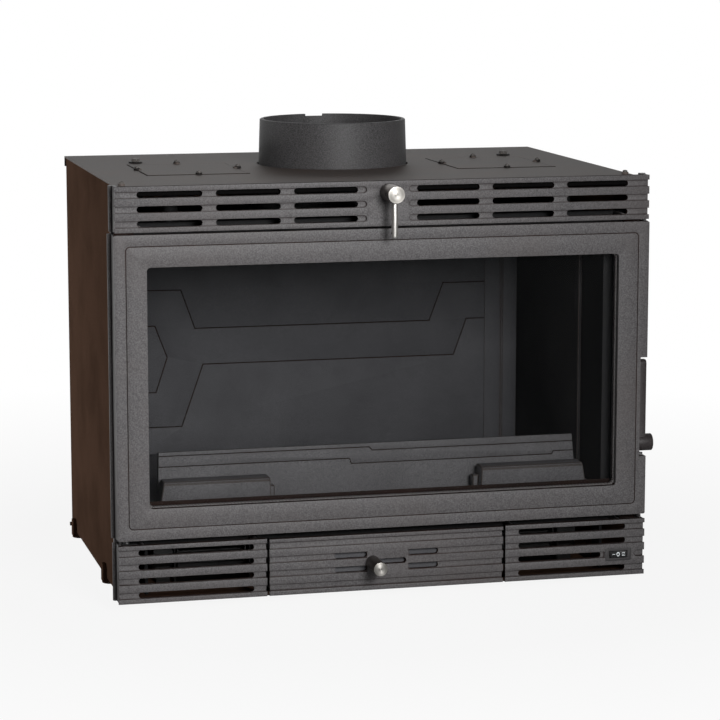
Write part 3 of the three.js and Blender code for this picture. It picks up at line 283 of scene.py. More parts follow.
# Turned steel that nobody polishes: darker, with short marks across its length.
machined = bare_metal("machined mild steel", "#6d6d6f", "#8c8c8d", 0.4, 2.0, (1, 1, 8))
print("metals:", zinc.name, "|", pan_sheet.name, "|", machined.name)

# %% [markdown]
# ## Turned faces
#
# The face of a knob is cut by a lathe tool that moves in from the rim. What stays is a set of very
# fine rings about the knob's own axis, which spread a highlight into a fan. The shader's tangent
# points outward from that axis, so the anisotropic sheen fans out in the same way. The real rings
# are too fine to show, so a wave drawn about 8 mm from crest to crest varies the tone instead.

# %% Turned stainless steel
ring_scale = 40


def turned_steel(name, centre):
    """Stainless steel whose sheen fans out about an axis along Y through centre."""
    material, tree, output = new_material(name)
    place = add_node(tree, "ShaderNodeTexCoord").outputs["Object"]
    outward = add_node(
        tree, "ShaderNodeVectorMath", {"operation": "SUBTRACT", 1: (centre.x, 0, centre.z)}, {0: place}
    )
    rings = add_node(
        tree, "ShaderNodeTexWave",
        {"wave_type": "RINGS", "rings_direction": "Y", "Scale": ring_scale, "Distortion": 0.4},
        {"Vector": outward.outputs[0]},
    )
    flat = add_node(
        tree, "ShaderNodeVectorMath", {"operation": "MULTIPLY", 1: (1, 0, 1)}, {0: outward.outputs[0]}
    )
    across = add_node(
        tree, "ShaderNodeVectorTransform",
        {"vector_type": "VECTOR", "convert_from": "OBJECT", "convert_to": "WORLD"},
        {0: flat.outputs[0]},
    )
    tone = add_node(
        tree, "ShaderNodeMix",
        {"data_type": "RGBA", mix_a: colour("#9c9994"), mix_b: colour("#bbb8b3")},
        {0: rings.outputs[1]},
    )
    shader = add_node(
        tree, "ShaderNodeBsdfPrincipled", {"Metallic": 1.0, "Roughness": 0.5, "Anisotropic": 0.6},
        {"Base Color": tone.outputs[mix_result], "Tangent": across.outputs[0]},
    )
    tree.links.new(shader.outputs[0], output.inputs[0])
    return material


def middle(node):
    """The centre of a CAD node's box."""
    low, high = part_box(node)
    return (low + high) / 2


damper_axis = middle("damper_knob")
shutter_axis = middle("shutter_knob")
damper_steel = turned_steel("turned stainless, damper knob", damper_axis)
shutter_steel = turned_steel("turned stainless, air knob", shutter_axis)
# Drawing leaves long fine lines down the rod, so its highlight is bright and unbroken.
rod_steel = bare_metal("drawn stainless rod", "#c9c6c1", "#e6e4e0", 0.45, 1.5, (1, 1, 0.1))
# The side of a knob sees only the dark front of the insert, so its steel is painted brown-grey:
# a painted dark reflection.
knob_side_reflection = bare_metal(
    "turned stainless, side of a knob", "#4b4440", "#6d6661", 0.4, 1.0, (0.1, 1, 0.1)
)
for word, point in (("damper", damper_axis), ("shutter", shutter_axis)):
    print(word, "knob about", tuple(round(v, 4) for v in point))

# %% [markdown]
# ## Glass, rope, plastic and black sheet
#
# The pane is clear glass ceramic, about 4 mm thick. From a step away it shows only as a faint
# sheen, so the shader is a dark gloss that is almost see-through. The rope that beds the pane is
# braided from black glass fibre, the switch is moulded ABS with a slight sheen and pale marks.
# Plastic, print and the black sheet behind the grilles are smooth coats, so one recipe makes them.
# The rope, the handle and the liners are as matt and speckled as the castings, and use the recipe
# for paint.

# %% Glass, plastic and black sheet
# Smooth and almost clear. A thin film from wiping gives its gloss a slow haze.
glass_ceramic, tree, output = new_material("clear glass ceramic")
place = add_node(tree, "ShaderNodeTexCoord").outputs["Object"]
film = add_node(tree, "ShaderNodeTexNoise", {"Scale": 9.0, "Detail": 3.0}, {"Vector": place})
haze = add_node(
    tree, "ShaderNodeMapRange", {"To Min": 0.03, "To Max": 0.08}, {"Value": film.outputs[0]}
)
shader = add_node(
    tree, "ShaderNodeBsdfPrincipled",
    {"Base Color": colour("#1b1c1d"), "IOR": 1.54, "Alpha": 0.1}, {"Roughness": haze.outputs[0]},
)
tree.links.new(shader.outputs[0], output.inputs[0])


def coated(name, base, other, roughness, pattern_mm, relief_mm):
    """A smooth coat or moulding with a soft mottle of its two colours."""
    material, tree, output = new_material(name)
    place = add_node(tree, "ShaderNodeTexCoord").outputs["Object"]
    mottle = add_node(
        tree, "ShaderNodeTexNoise", {"Scale": 1000 / pattern_mm, "Detail": 3.0}, {"Vector": place}
    )
    tone = add_node(
        tree, "ShaderNodeMix", {"data_type": "RGBA", mix_a: colour(base), mix_b: colour(other)},
        {0: mottle.outputs[0]},
    )
    sheen = add_node(
        tree, "ShaderNodeMapRange",
        {"To Min": roughness - 0.06, "To Max": roughness + 0.06}, {"Value": mottle.outputs[0]},
    )
    bump = add_node(
        tree, "ShaderNodeBump", {"Strength": 0.5, "Distance": relief_mm / 1000},
        {"Height": mottle.outputs[0]},
    )
    shader = add_node(
        tree, "ShaderNodeBsdfPrincipled", {"IOR": 1.5},
        {
            "Base Color": tone.outputs[mix_result],
            "Roughness": sheen.outputs[0],
            "Normal": bump.outputs[0],
        },
    )
    tree.links.new(shader.outputs[0], output.inputs[0])
    return material


# Moulded against a polished tool, so the rocker has the clearest highlight of the plastics.
switch_plastic = coated("black moulded ABS", "#1b1b1c", "#262627", 0.34, 1.0, 0.02)
# The bezel comes from a spark-eroded tool, which leaves it matt.
bezel_plastic = coated("matt black moulded ABS", "#312f30", "#3c3a3b", 0.5, 0.8, 0.03)
# Flat white ink with a trace of blue.
mark_paint = coated("pale printed marks", "#dfe6ea", "#f0f4f6", 0.6, 1.0, 0.01)
# Satin black as painted shade: the parts in the dark behind the grilles take it, so that the
# slots read as shadow.
shade_black_sheet = coated("black lacquered sheet", "#101010", "#171717", 0.55, 6.0, 0.03)
# The bottom of a socket is bare and in shade.
socket_shade = coated("bare steel in a recess", "#1a1918", "#262423", 0.7, 1.2, 0.03)
# The fibre is black; the yarn is painted grey, a painted lightening of a rope that lies in the
# shade of the door's reveal, and painted shade darkens it where two strands meet.
rope_fibre = stove_paint(
    "black glass-fibre yarn", "#4c4a4a", "#858383", 0.5, 0.1, 0.85, 0.1, crease_shade_mm=2.0
)
# Hands have worn the handle darker and smoother than the door.
handle_paint = stove_paint(
    "dark paint on the handle", "#2c2829", "#423e3e", 1.4, 0.2, 0.5, 0.3,
    cloud=primer, cloudiness=0.5,
)
# Darker than the other castings as painted shade, since the liners face away from the key lamp,
# and matt.
liner_shade_paint = stove_paint(
    "dark paint on the side liners, painted shade", "#2f2e2f", "#3f3e3f", 1.5, 0.3, 0.8, 0.1,
    cloud="#262526", cloudiness=0.6,
)
print("also:", glass_ceramic.name, "|", switch_plastic.name, "|", shade_black_sheet.name)

# %% [markdown]
# ## Which finish goes where
#
# Each CAD node keeps its shape unless a finer piece takes its place further down, so every node
# first gets the finish of its material slot. Some nodes differ from their slot: the top plate and
# its covers carry a painted grey reflection of the room, the side liners are darker as painted
# shade, the handle and the bezel of the switch are a tone of their own, small clips and pins are
# plated, and the blowers in the dark behind the grilles are black as painted shade.

# %% Finishes for the nodes
finish_of_slot = {
    "facade_iron": facade_paint,
    "chamber_iron": chamber_paint,
    "chamber_steel": plate_paint,
    "casing_steel": casing_paint,
    "flue_iron": collar_paint,
    "plain_steel": machined,
    "stainless_steel": rod_steel,
    "ceramic_glass": glass_ceramic,
    "sealing_rope": rope_fibre,
    "black_plastic": switch_plastic,
    "motor_steel": shade_black_sheet,
}
finish_of_node = {
    "casing_top": top_paint_with_reflection,
    "outlet_cover_left": top_paint_with_reflection,
    "outlet_cover_right": top_paint_with_reflection,
    "ash_pan": pan_sheet,
    "ash_chute": pan_sheet,
    "air_shutter": chamber_paint,
    "glass_clip_left": zinc,
    "glass_clip_right": zinc,
    "hinge_pin_bottom": zinc,
    "hinge_pin_top": zinc,
    "front_frame": plate_paint,
    "handle": handle_paint,
    "switch_body": bezel_plastic,
    "side_liner_left": liner_shade_paint,
    "side_liner_right": liner_shade_paint,
    "log_guard": block_paint,
    "hearth_block_left": block_paint,
    "hearth_block_right": block_paint,
}
for node in body_of:
    if node.startswith("blower_"):
        finish_of_node[node] = shade_black_sheet


def finish(node):
    """The node's own finish if it has one, or else that of its material slot."""
    return finish_of_node.get(node, finish_of_slot[slot_of[node]])


for node, piece in frame["nodes"].items():
    piece.data.materials.clear()
    piece.data.materials.append(finish(node))
print("finished", len(frame["nodes"]), "nodes")

# %% [markdown]
# ## Soft edges on castings and sheet
#
# No casting has a razor edge: the sand rounds it, and the paint runs thin there and lets a little
# brown show. The CAD solids have the right form but sharp edges. A copy of each solid is merged
# into one skin, its flat parts are joined into single faces, and a bevel rounds only what is
# sharper than 30 degrees. A face with hollows is cut before that, because a large hollow face can
# close over a slot once the bevel has moved its corners. The bevel's own faces take a second
# material, so the worn line follows the real edge. The walls of grooves and slots and the floor of
# a scored line take a third, a dark brown of painted shade: they are found by how far they lie
# behind the face, and walls that look up, which the light would catch, get the painted shade to a
# greater depth.

# %% Softened copies
def only(obj):
    """Deselects everything and makes obj the one active, selected object."""
    if bpy.context.object and bpy.context.object.mode != "OBJECT":
        bpy.ops.object.mode_set(mode="OBJECT")
    bpy.ops.object.select_all(action="DESELECT")
    bpy.context.view_layer.objects.active = obj
    obj.select_set(True)


def settle(piece, body, slot, *nodes):
    """Makes the piece's place part of its mesh, rides it on its body and hides the nodes it replaces.
    """
    only(piece)
    bpy.ops.object.transform_apply(location=True, rotation=True, scale=True)
    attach(piece, body)
    if nodes:
        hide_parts(*nodes)
    return piece


sill_mm = 9


def darken_creases(piece, facing, wall_mm, line_mm):
    """Paints shade (the third material) on walls within wall_mm of the face and floors of scored
    lines.

    Walls that look up are taken down to sill_mm, and line_mm is the range of depths of a line.
    """
    facing = Vector(facing).normalized()
    front = max(facing.dot(vertex.co) for vertex in piece.data.vertices)
    for face in piece.data.polygons:
        depth = (front - facing.dot(face.center)) * 1000
        to_front = facing.dot(face.normal)
        reach = max(wall_mm, sill_mm) if face.normal.z > 0.5 else wall_mm
        wall = abs(to_front) < 0.5 and depth < reach
        line = to_front > 0.9 and line_mm[0] < depth < line_mm[1]
        if face.material_index == 0 and (wall or line):
            face.material_index = 2


def softened(node, width_mm, edge_paint, facing=None, wall_mm=0, line_mm=(0, 0)):
    """A copy of a CAD node with bevelled edges in a paint of their own, in the node's place."""
    source = frame["nodes"][node]
    piece = bpy.data.objects.new(node + "_soft", source.data.copy())
    bpy.context.scene.collection.objects.link(piece)
    piece.data.materials.clear()
    for paint in (finish(node), edge_paint, crease_shade_and_print):
        piece.data.materials.append(paint)
    only(piece)
    bpy.ops.object.mode_set(mode="EDIT")
    bpy.ops.mesh.select_all(action="SELECT")
    bpy.ops.mesh.remove_doubles(threshold=0.00002)
    bpy.ops.mesh.dissolve_limited(angle_limit=math.radians(0.5))
    bpy.ops.mesh.vert_connect_concave()
    bpy.ops.object.mode_set(mode="OBJECT")
    bevel = piece.modifiers.new("edge", "BEVEL")
    bevel.width = width_mm / 1000
    bevel.segments = 2
    bevel.limit_method = "ANGLE"
    bevel.angle_limit = math.radians(30)
    bevel.material = 1
    bpy.ops.object.modifier_apply(modifier=bevel.name)
    if facing:
        darken_creases(piece, facing, wall_mm, line_mm)
    bpy.ops.object.shade_smooth_by_angle(angle=math.radians(35))
    return settle(piece, body_of[node], slot_of[node], node)


# %% The front castings
to_viewer = (0, -1, 0)
slot_wall_mm = 9
door_wall_mm = 3
scored_mm = (0.5, 1.2)
casting_edge_mm = 0.4
for node in ("top_grille", "lower_grille_left", "lower_grille_right", "drawer_front"):
    softened(node, casting_edge_mm, facade_edge, to_viewer, slot_wall_mm, scored_mm)
door = softened("door_frame", casting_edge_mm, facade_edge, to_viewer, door_wall_mm, scored_mm)
softened("handle", 1.2, handle_paint)
print("five castings and the handle, the door with", len(door.data.polygons), "faces")

# %% The chamber's castings
# The log guard leans back by 8 degrees, so depth is measured along its own face.
lean = math.radians(8)
guard_facing = (0, -math.cos(lean), math.sin(lean))
relief_edge_mm = 0.3
fireback_wall_mm, fireback_line_mm = 5, (0.8, 1.5)
guard_wall_mm, guard_line_mm = 3, (0.7, 1.3)
softened(
    "fireback", relief_edge_mm, chamber_edge, to_viewer, fireback_wall_mm, fireback_line_mm
)
softened("log_guard", relief_edge_mm, chamber_edge, guard_facing, guard_wall_mm, guard_line_mm)
edge_mm_of_casting = {
    "hearth_block_left": 1.5,
    "hearth_block_right": 1.5,
    "air_column_left": 0.5,
    "air_column_right": 0.5,
    "side_liner_left": 0.8,
    "side_liner_right": 0.8,
    "grate": 0.8,
    "baffle": 1.0,
    "firebox_floor": 0.8,
}
for node, edge_mm in edge_mm_of_casting.items():
    softened(node, edge_mm, chamber_edge)
print("the fireback, the log guard and", len(edge_mm_of_casting), "more castings")

# %% The casing, its feet and the switch
sheet_edge_mm = 0.3
foot_edge_mm = 0.8
for word in ("left", "right", "back"):
    softened("casing_" + word, sheet_edge_mm, casing_paint)
for corner in ("front_left", "front_right", "rear_left", "rear_right"):
    softened("foot_" + corner, foot_edge_mm, casing_paint)
softened("switch_body", 0.5, bezel_plastic)
softened("switch_rocker", 0.5, switch_plastic)
print("three sheets, four feet and the switch")

# %% [markdown]
# ## Turned knobs and the damper's rod
#
# Both knobs are turned from stainless bar: a cylinder with a broken edge at the face. The face is
# bright and the side is darker, because the side reflects only the dark front of the insert; that
# dark reflection is painted into the side's steel, so the two get different steels. The damper's
# knob grips its shaft with a set screw in its side, and the lower knob sits on a thin stem that
# comes out through a slot. The damper's rod is a drawn bar with rounded ends that hangs from the
# knob and has a grub screw near its tip.

# %% Knobs and rod
def add_cylinder(name, radius, length, place, axis, vertices=64):
    """A closed cylinder about axis, with its middle at place."""
    bpy.ops.object.select_all(action="DESELECT")
    turn = {"X": (0, math.pi / 2, 0), "Y": (math.pi / 2, 0, 0), "Z": (0, 0, 0)}[axis]
    bpy.ops.mesh.primitive_cylinder_add(
        vertices=vertices, radius=radius, depth=length, location=place, rotation=turn
    )
    piece = bpy.context.object
    piece.name = name
    return piece


def bevelled(piece, width_mm, segments=3):
    """Rounds the piece's sharp edges and shades the rest smooth."""
    only(piece)
    bpy.ops.object.transform_apply(location=True, rotation=True, scale=True)
    bevel = piece.modifiers.new("edge", "BEVEL")
    bevel.width = width_mm / 1000
    bevel.segments = segments
    bevel.limit_method = "ANGLE"
    bevel.angle_limit = math.radians(30)
    bpy.ops.object.modifier_apply(modifier=bevel.name)
    bpy.ops.object.shade_smooth_by_angle(angle=math.radians(35))
    return piece


def joined(name, *pieces):
    """Joins the pieces to the first one and names it."""
    only(pieces[0])
    for piece in pieces[1:]:
        piece.select_set(True)
    bpy.ops.object.join()
    pieces[0].name = name
    return pieces[0]


def grub_screw(place, axis, radius):
    """The end of a set screw: a small dark disc with a broken edge, half sunk at place."""
    grub_length = 0.0012
    screw = bevelled(add_cylinder("grub", radius, grub_length, place, axis, 24), 0.25, 2)
    screw.data.materials.append(socket_shade)
    return screw


def knob_head(name, axis, radius, front, back, edge_mm, face_steel):
    """A turned head from front to back along Y, bright on its face, its side in painted dark
    reflection.
    """
    head = add_cylinder(name, radius, back - front, (axis.x, (front + back) / 2, axis.z), "Y")
    head.data.materials.append(knob_side_reflection)
    head.data.materials.append(face_steel)
    bevelled(head, edge_mm)
    for face in head.data.polygons:
        if face.normal.y < -0.5 and face.center.y < front + 0.001:
            face.material_index = 1
    return head


# %% The damper's knob
low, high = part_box("damper_knob")
grub_from_face, grub_stands_out = 0.012, 0.0001
head = knob_head(
    "damper_knob_turned", damper_axis, (high.x - low.x) / 2, low.y, high.y, 0.7, damper_steel
)
screw_place = (low.x - grub_stands_out, low.y + grub_from_face, damper_axis.z)
screw = grub_screw(screw_place, "X", 0.0018)
damper_knob = joined("damper_knob_turned", head, screw)
settle(damper_knob, body_of["damper_knob"], "stainless_steel", "damper_knob")
print("damper knob", round((high.x - low.x) * 1000, 1), "mm across")

# %% The air shutter's knob
# The head ends just in front of the drawer's casting, and the stem goes on through its slot.
low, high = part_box("shutter_knob")
gap_to_casting = 0.0015
knob_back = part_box("drawer_front")[0].y - gap_to_casting
stem_radius = 0.003
head = knob_head(
    "shutter_knob_head", shutter_axis, (high.x - low.x) / 2, low.y, knob_back, 0.6, shutter_steel
)
stem_middle = (shutter_axis.x, (high.y + knob_back) / 2, shutter_axis.z)
stem = add_cylinder("shutter_knob_stem", stem_radius, high.y - knob_back, stem_middle, "Y", 32)
stem.data.materials.append(machined)
bevelled(stem, 0.3)
shutter_knob = joined("shutter_knob_turned", head, stem)
settle(shutter_knob, body_of["shutter_knob"], "stainless_steel", "shutter_knob")
print("shutter knob", round((high.x - low.x) * 1000, 1), "mm across")

# %% The damper's rod
low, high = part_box("damper_rod")
grub_from_tip = 0.006
rod = add_cylinder(
    "damper_rod_drawn", (high.x - low.x) / 2, high.z - low.z, middle("damper_rod"), "Z", 48
)
rod.data.materials.append(rod_steel)
bevelled(rod, 1.6, 4)
grub = grub_screw((low.x, (low.y + high.y) / 2, low.z + grub_from_tip), "X", 0.0014)
rod = joined("damper_rod_drawn", rod, grub)
settle(rod, body_of["damper_rod"], "stainless_steel", "damper_rod")
print("rod", round((high.z - low.z) * 1000, 1), "mm long")

# %% [markdown]
# ## Flue collar
#
# The collar is an iron casting whose rim was ground and then painted over. Its CAD solid already
# has the taper and the notch, so it is softened like the other castings, a little rounder.

# %% Flue collar
collar = softened("flue_collar", 0.9, collar_paint)
print(collar.name, len(collar.data.polygons), "faces")

# %% [markdown]
# ## Bolts and screws
#
# Two hex bolts with wide flanges hold the chamber under the top plate. They are black steel, and
# the hexagon is painted a little lighter than the flange as a highlight. The covers of the warm
# air outlets are held by small button-head screws that sit astride the seam, and two more hold the
# lid's front corners. A screw is made once for each set, then copied with a mesh of its own. The
# seam itself is a dark line of shade, so two thin strips of painted shade lie in it on the sides
# that the light doesn't reach.

# %% Hex bolts
# Oxide on steel is a black skin, thinner than paint. The heads of bolts and screws take a lighter
# and smoother oxide, the lighter tone a painted highlight where their tops catch the light.
black_oxide = stove_paint("black oxide on steel", "#1c1a19", "#2b2827", 1.0, 0.02, 0.6, 0.15)
highlit_oxide = stove_paint(
    "black oxide worn by a spanner", "#4f4c4a", "#6b6764", 1.2, 0.03, 0.5, 0.2
)
cover_screw_height = 0.0028
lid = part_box("outlet_cover_left")[1].z - cover_screw_height


def hex_bolt(node):
    """A shank, a wide flange and a hexagon, from the foot of the node to its top."""
    low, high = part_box(node)
    axis = middle(node)
    shank_radius, flange_radius, head_radius = 0.003, 0.0095, 0.0058
    flange_bottom, flange_top = lid + 0.0003, lid + 0.0019
    turned = []
    for name, radius, bottom, top, steel, edge_mm, sides in (
        ("shank", shank_radius, low.z, lid, machined, 0.3, 32),
        ("flange", flange_radius, flange_bottom, flange_top, black_oxide, 0.6, 48),
        ("head", head_radius, flange_top, high.z, highlit_oxide, 0.7, 6),
    ):
        place = (axis.x, axis.y, (bottom + top) / 2)
        part = add_cylinder(name, radius, top - bottom, place, "Z", sides)
        part.data.materials.append(steel)
        turned.append(bevelled(part, edge_mm))
    return settle(joined(node + "_hex", *turned), body_of[node], "plain_steel", node)


for node in ("top_bolt_left", "top_bolt_right"):
    bolt = hex_bolt(node)
    print(bolt.name, len(bolt.data.polygons), "faces")


# %% Button-head screws
def button_screw(place):
    """A domed head in a flat rim, with a dark hexagon for its socket, standing on place."""
    place, up = Vector(place), Vector((0, 0, 1))
    radius, height, rim_height, socket_depth = 0.0044, 0.0052, 0.0029, 0.0004
    rim = add_cylinder("rim", radius, rim_height, place + up * rim_height / 2, "Z", 32)
    rim.data.materials.append(black_oxide)
    bevelled(rim, 0.6)
    head = add_cylinder("screw", radius * 0.72, height, place + up * height / 2, "Z", 32)
    head.data.materials.append(highlit_oxide)
    bevelled(head, 0.9, 4)
    tip = place + up * (height + 0.0001)
    socket = add_cylinder("socket", radius * 0.3, socket_depth, tip, "Z", 6)
    socket.data.materials.append(socket_shade)
    return joined("screw", rim, head, socket)


def screw_set(name, spots):
    """The same screw at every spot: the first is made, the others are copies of it."""
    first = button_screw(spots[0])
    pieces = [first]
    for spot in spots[1:]:
        only(first)
        bpy.ops.object.duplicate(linked=False)
        copy = bpy.context.object
        bpy.ops.transform.translate(value=Vector(spot) - Vector(spots[0]))
        bpy.ops.object.transform_apply(location=True, rotation=True, scale=True)
        pieces.append(copy)
    return settle(joined(name, *pieces), "insert", "plain_steel")


def sheet_strip(low, high, paint, edge_mm=0.25):
    """A flat strip of sheet that fills the box between two corners, its edges just broken."""
    low, high = Vector(low), Vector(high)
    bpy.ops.object.select_all(action="DESELECT")
    bpy.ops.mesh.primitive_cube_add(size=1, location=(low + high) / 2, scale=high - low)
    strip = bpy.context.object
    strip.data.materials.append(paint)
    return bevelled(strip, edge_mm, 2)


print("screws and strips sit on the lid at", round(lid, 4))

# %% Screws and seams of the outlet covers
cover_screw_radius = 0.0042
half_side_seam, half_front_seam = 0.0007, 0.0008
half_sheet = 0.0006
seam_edge_mm = 0.2
for word in ("left", "right"):
    low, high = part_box("outlet_cover_" + word)
    centre = middle("outlet_cover_" + word)
    left, right = low.x + cover_screw_radius, high.x - cover_screw_radius
    front, back = low.y + cover_screw_radius, high.y - cover_screw_radius
    spots = [
        (left, centre.y, lid), (right, centre.y, lid), (centre.x, front, lid), (centre.x, back, lid)
    ]
    screw_set("outlet_screws_" + word, spots)
    # The two strips are painted shade in the seam, along the cover's left and front edges.
    side_seam = sheet_strip(
        (left - half_side_seam, front, lid - half_sheet),
        (left + half_side_seam, back, lid + half_sheet), crease_shade_and_print, seam_edge_mm,
    )
    front_seam = sheet_strip(
        (left, front - half_front_seam, lid - half_sheet),
        (right, front + half_front_seam, lid + half_sheet), crease_shade_and_print, seam_edge_mm,
    )
    settle(joined("outlet_seam_" + word, side_seam, front_seam), "insert", "casing_steel")
    print("cover", word, "at", tuple(round(v, 4) for v in centre))

corner_x, corner_y = 0.333, -0.1827
screw_set("lid_screws", [(-corner_x, corner_y, lid), (corner_x, corner_y, lid)])
print("two screws in the lid's front corners")

# %% [markdown]
# ## Behind the joints
#
# At three places the camera would look through a joint between the castings. On the real insert a
# folded edge of the casing's sheet closes them from behind, so three short folds are added there,
# in the dark brown of painted shade. The upper slots of the top grille are dark inside, although
# much light falls on them from above, so strips of near-black sheet lie behind them as painted
# shade. Behind the lower edge of the pane a dark printed band hides the foot of the log guard, as
# on many glass ceramic panes.

# %% Folds behind the joints
# A near-black sheet, painted shade: it gives back hardly any light, so a slot in front of it
# reads as a hole.
shade_sheet_behind_slots = stove_paint(
    "black felt behind the slots", "#080808", "#131212", 1.2, 0.1, 0.9, 0.0
)
# One fold lies behind the door's top right corner, one under its bottom right corner, and one
# above its top left corner.
door_low, door_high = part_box("door_frame")
right_inner, right_outer = 0.325, 0.347
right_front, right_back = -0.205, -0.202
left_inner, left_outer = -0.325, -0.35
left_front, left_back = -0.2235, -0.2215
# The folds are drawn in the dark brown of painted shade.
folds = [
    sheet_strip(
        (right_inner, right_front, door_high.z - 0.012),
        (right_outer, right_back, door_high.z + 0.0045), crease_shade_and_print,
    ),
    sheet_strip(
        (right_inner, right_front, door_low.z - 0.0125),
        (right_outer, right_back, door_low.z - 0.0003), crease_shade_and_print,
    ),
    sheet_strip(
        (left_outer, left_front, door_high.z + 0.0003),
        (left_inner, left_back, door_high.z + 0.0035), crease_shade_and_print,
    ),
]
grille_front, grille_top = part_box("top_grille")[0].y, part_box("top_grille")[1].z
shade_sheet_front, shade_sheet_back = grille_front + 0.0078, grille_front + 0.0081
shade_sheet_inner, shade_sheet_outer = 0.03, 0.332
shade_sheet_rows = (
    (grille_top - 0.0128, grille_top - 0.0035),
    (grille_top - 0.0168, grille_top - 0.0142),
)
for start, end in ((-shade_sheet_outer, -shade_sheet_inner), (shade_sheet_inner, shade_sheet_outer)):
    for bottom, top in shade_sheet_rows:
        folds.append(sheet_strip((start, shade_sheet_front, bottom), (end, shade_sheet_back, top), shade_sheet_behind_slots))
settle(joined("joint_folds", *folds), "insert", "casing_steel")
print(len(folds), "strips behind the joints")

# %% Printed band of the pane
pane_low, pane_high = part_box("door_glass")
pane_back = pane_high.y
band_half_length = 0.309
band_bottom, band_top = pane_low.z + 0.0105, pane_low.z + 0.017
band = sheet_strip(
    (-band_half_length, pane_back + 0.0001, band_bottom),
    (band_half_length, pane_back + 0.0006, band_top), crease_shade_and_print,
)
band.name = "pane_band"
settle(band, body_of["door_glass"], "ceramic_glass")
print("band", round((band_top - band_bottom) * 1000, 1), "mm high")

# %% [markdown]
# ## Switch
#
# The rocker is a common snap-in switch with three positions: a bar for low, a ring for off and two
# bars for high. The pale marks are printed on the curved face, so each one is turned to lie flat on
# its own part of the curve.

# %% Marks on the rocker
switch = middle("switch_rocker")
rocker_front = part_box("switch_rocker")[0].y
rocker_half, rocker_bow = 0.0113, 0.0014
print_thickness = 0.0003


def face_at(offset):
    """The place in Y and the slope of the rocker's bowed face, offset from its middle."""
    part = offset / rocker_half
    place = rocker_front + rocker_bow * (1 - part**2)
    return place, math.atan(-2 * rocker_bow * part / rocker_half)


def bar(offset, height, width, thickness):
    """A printed bar, offset to the right of the rocker's middle and at a height above it."""
    y, slope = face_at(offset)
    bpy.ops.object.select_all(action="DESELECT")
    bpy.ops.mesh.primitive_cube_add(
        size=1, location=(switch.x + offset, y, switch.z + height),
        rotation=(0, 0, slope), scale=(width, print_thickness, thickness),
    )
    return bpy.context.object


low_offset, high_offset, bar_width = -0.0062, 0.0070, 0.0040
marks = [bar(low_offset, 0, bar_width, 0.0009)]
for height in (0.0015, -0.0015):
    marks.append(bar(high_offset, height, bar_width, 0.0010))
bpy.ops.object.select_all(action="DESELECT")
bpy.ops.mesh.primitive_torus_add(
    major_segments=40, minor_segments=8, major_radius=0.0018, minor_radius=0.0005,
    location=(switch.x, face_at(0)[0], switch.z), rotation=(math.pi / 2, 0, 0),
)
ring = bpy.context.object
ring.scale = (1, 1.3, 0.45)
marks.append(ring)
for mark in marks:
    only(mark)
    bpy.ops.object.transform_apply(location=True, rotation=True, scale=True)
    mark.data.materials.append(mark_paint)
settle(joined("rocker_marks", *marks), body_of["switch_rocker"], "black_plastic")
print("three bars and a ring on the rocker")

# %% [markdown]
# ## Glass-fibre ropes
#
# The pane lies on a braided rope of glass fibre, and a second rope on the back of the door seals it
# on the frame. Both are braids: strands wind left and right around the rope and cross over each
# other. A fine grid is rolled up into a tube that follows the rounded rectangle, and its radius
# swells where a strand lies on top. Rolled by hand this would take thousands of moves, so each
# point of the grid gets its place from its two grid coordinates.

# %% Braided ropes
def rounded_path(half_width, half_height, corner, distance):
    """The point and outward direction at a distance along a rounded rectangle about the origin."""
    flat_x, flat_z = half_width - corner, half_height - corner
    arc = math.pi / 2 * corner
    runs = (2 * flat_z, arc, 2 * flat_x, arc, 2 * flat_z, arc, 2 * flat_x, arc)
    k = 0
    while distance > runs[k] and k < len(runs) - 1:
        distance -= runs[k]
        k += 1
    turn = k // 2
    quarter = turn * math.pi / 2
    reach = (flat_x, flat_z)[turn % 2]
    along = (flat_z, flat_x)[turn % 2]
    if k % 2 == 0:
        x, z, angle = reach + corner, distance - along, 0
    else:
        angle = distance / corner
        x, z = reach + corner * math.cos(angle), along + corner * math.sin(angle)
    cos, sin = math.cos(quarter), math.sin(quarter)
    direction = angle + quarter
    return (x * cos - z * sin, x * sin + z * cos), (math.cos(direction), math.sin(direction))


bend_radius = 0.012
strand_pitch = 0.0045
strand_swell = 0.3
strands_around = 4
grid_step, grid_sides = 0.0009, 20


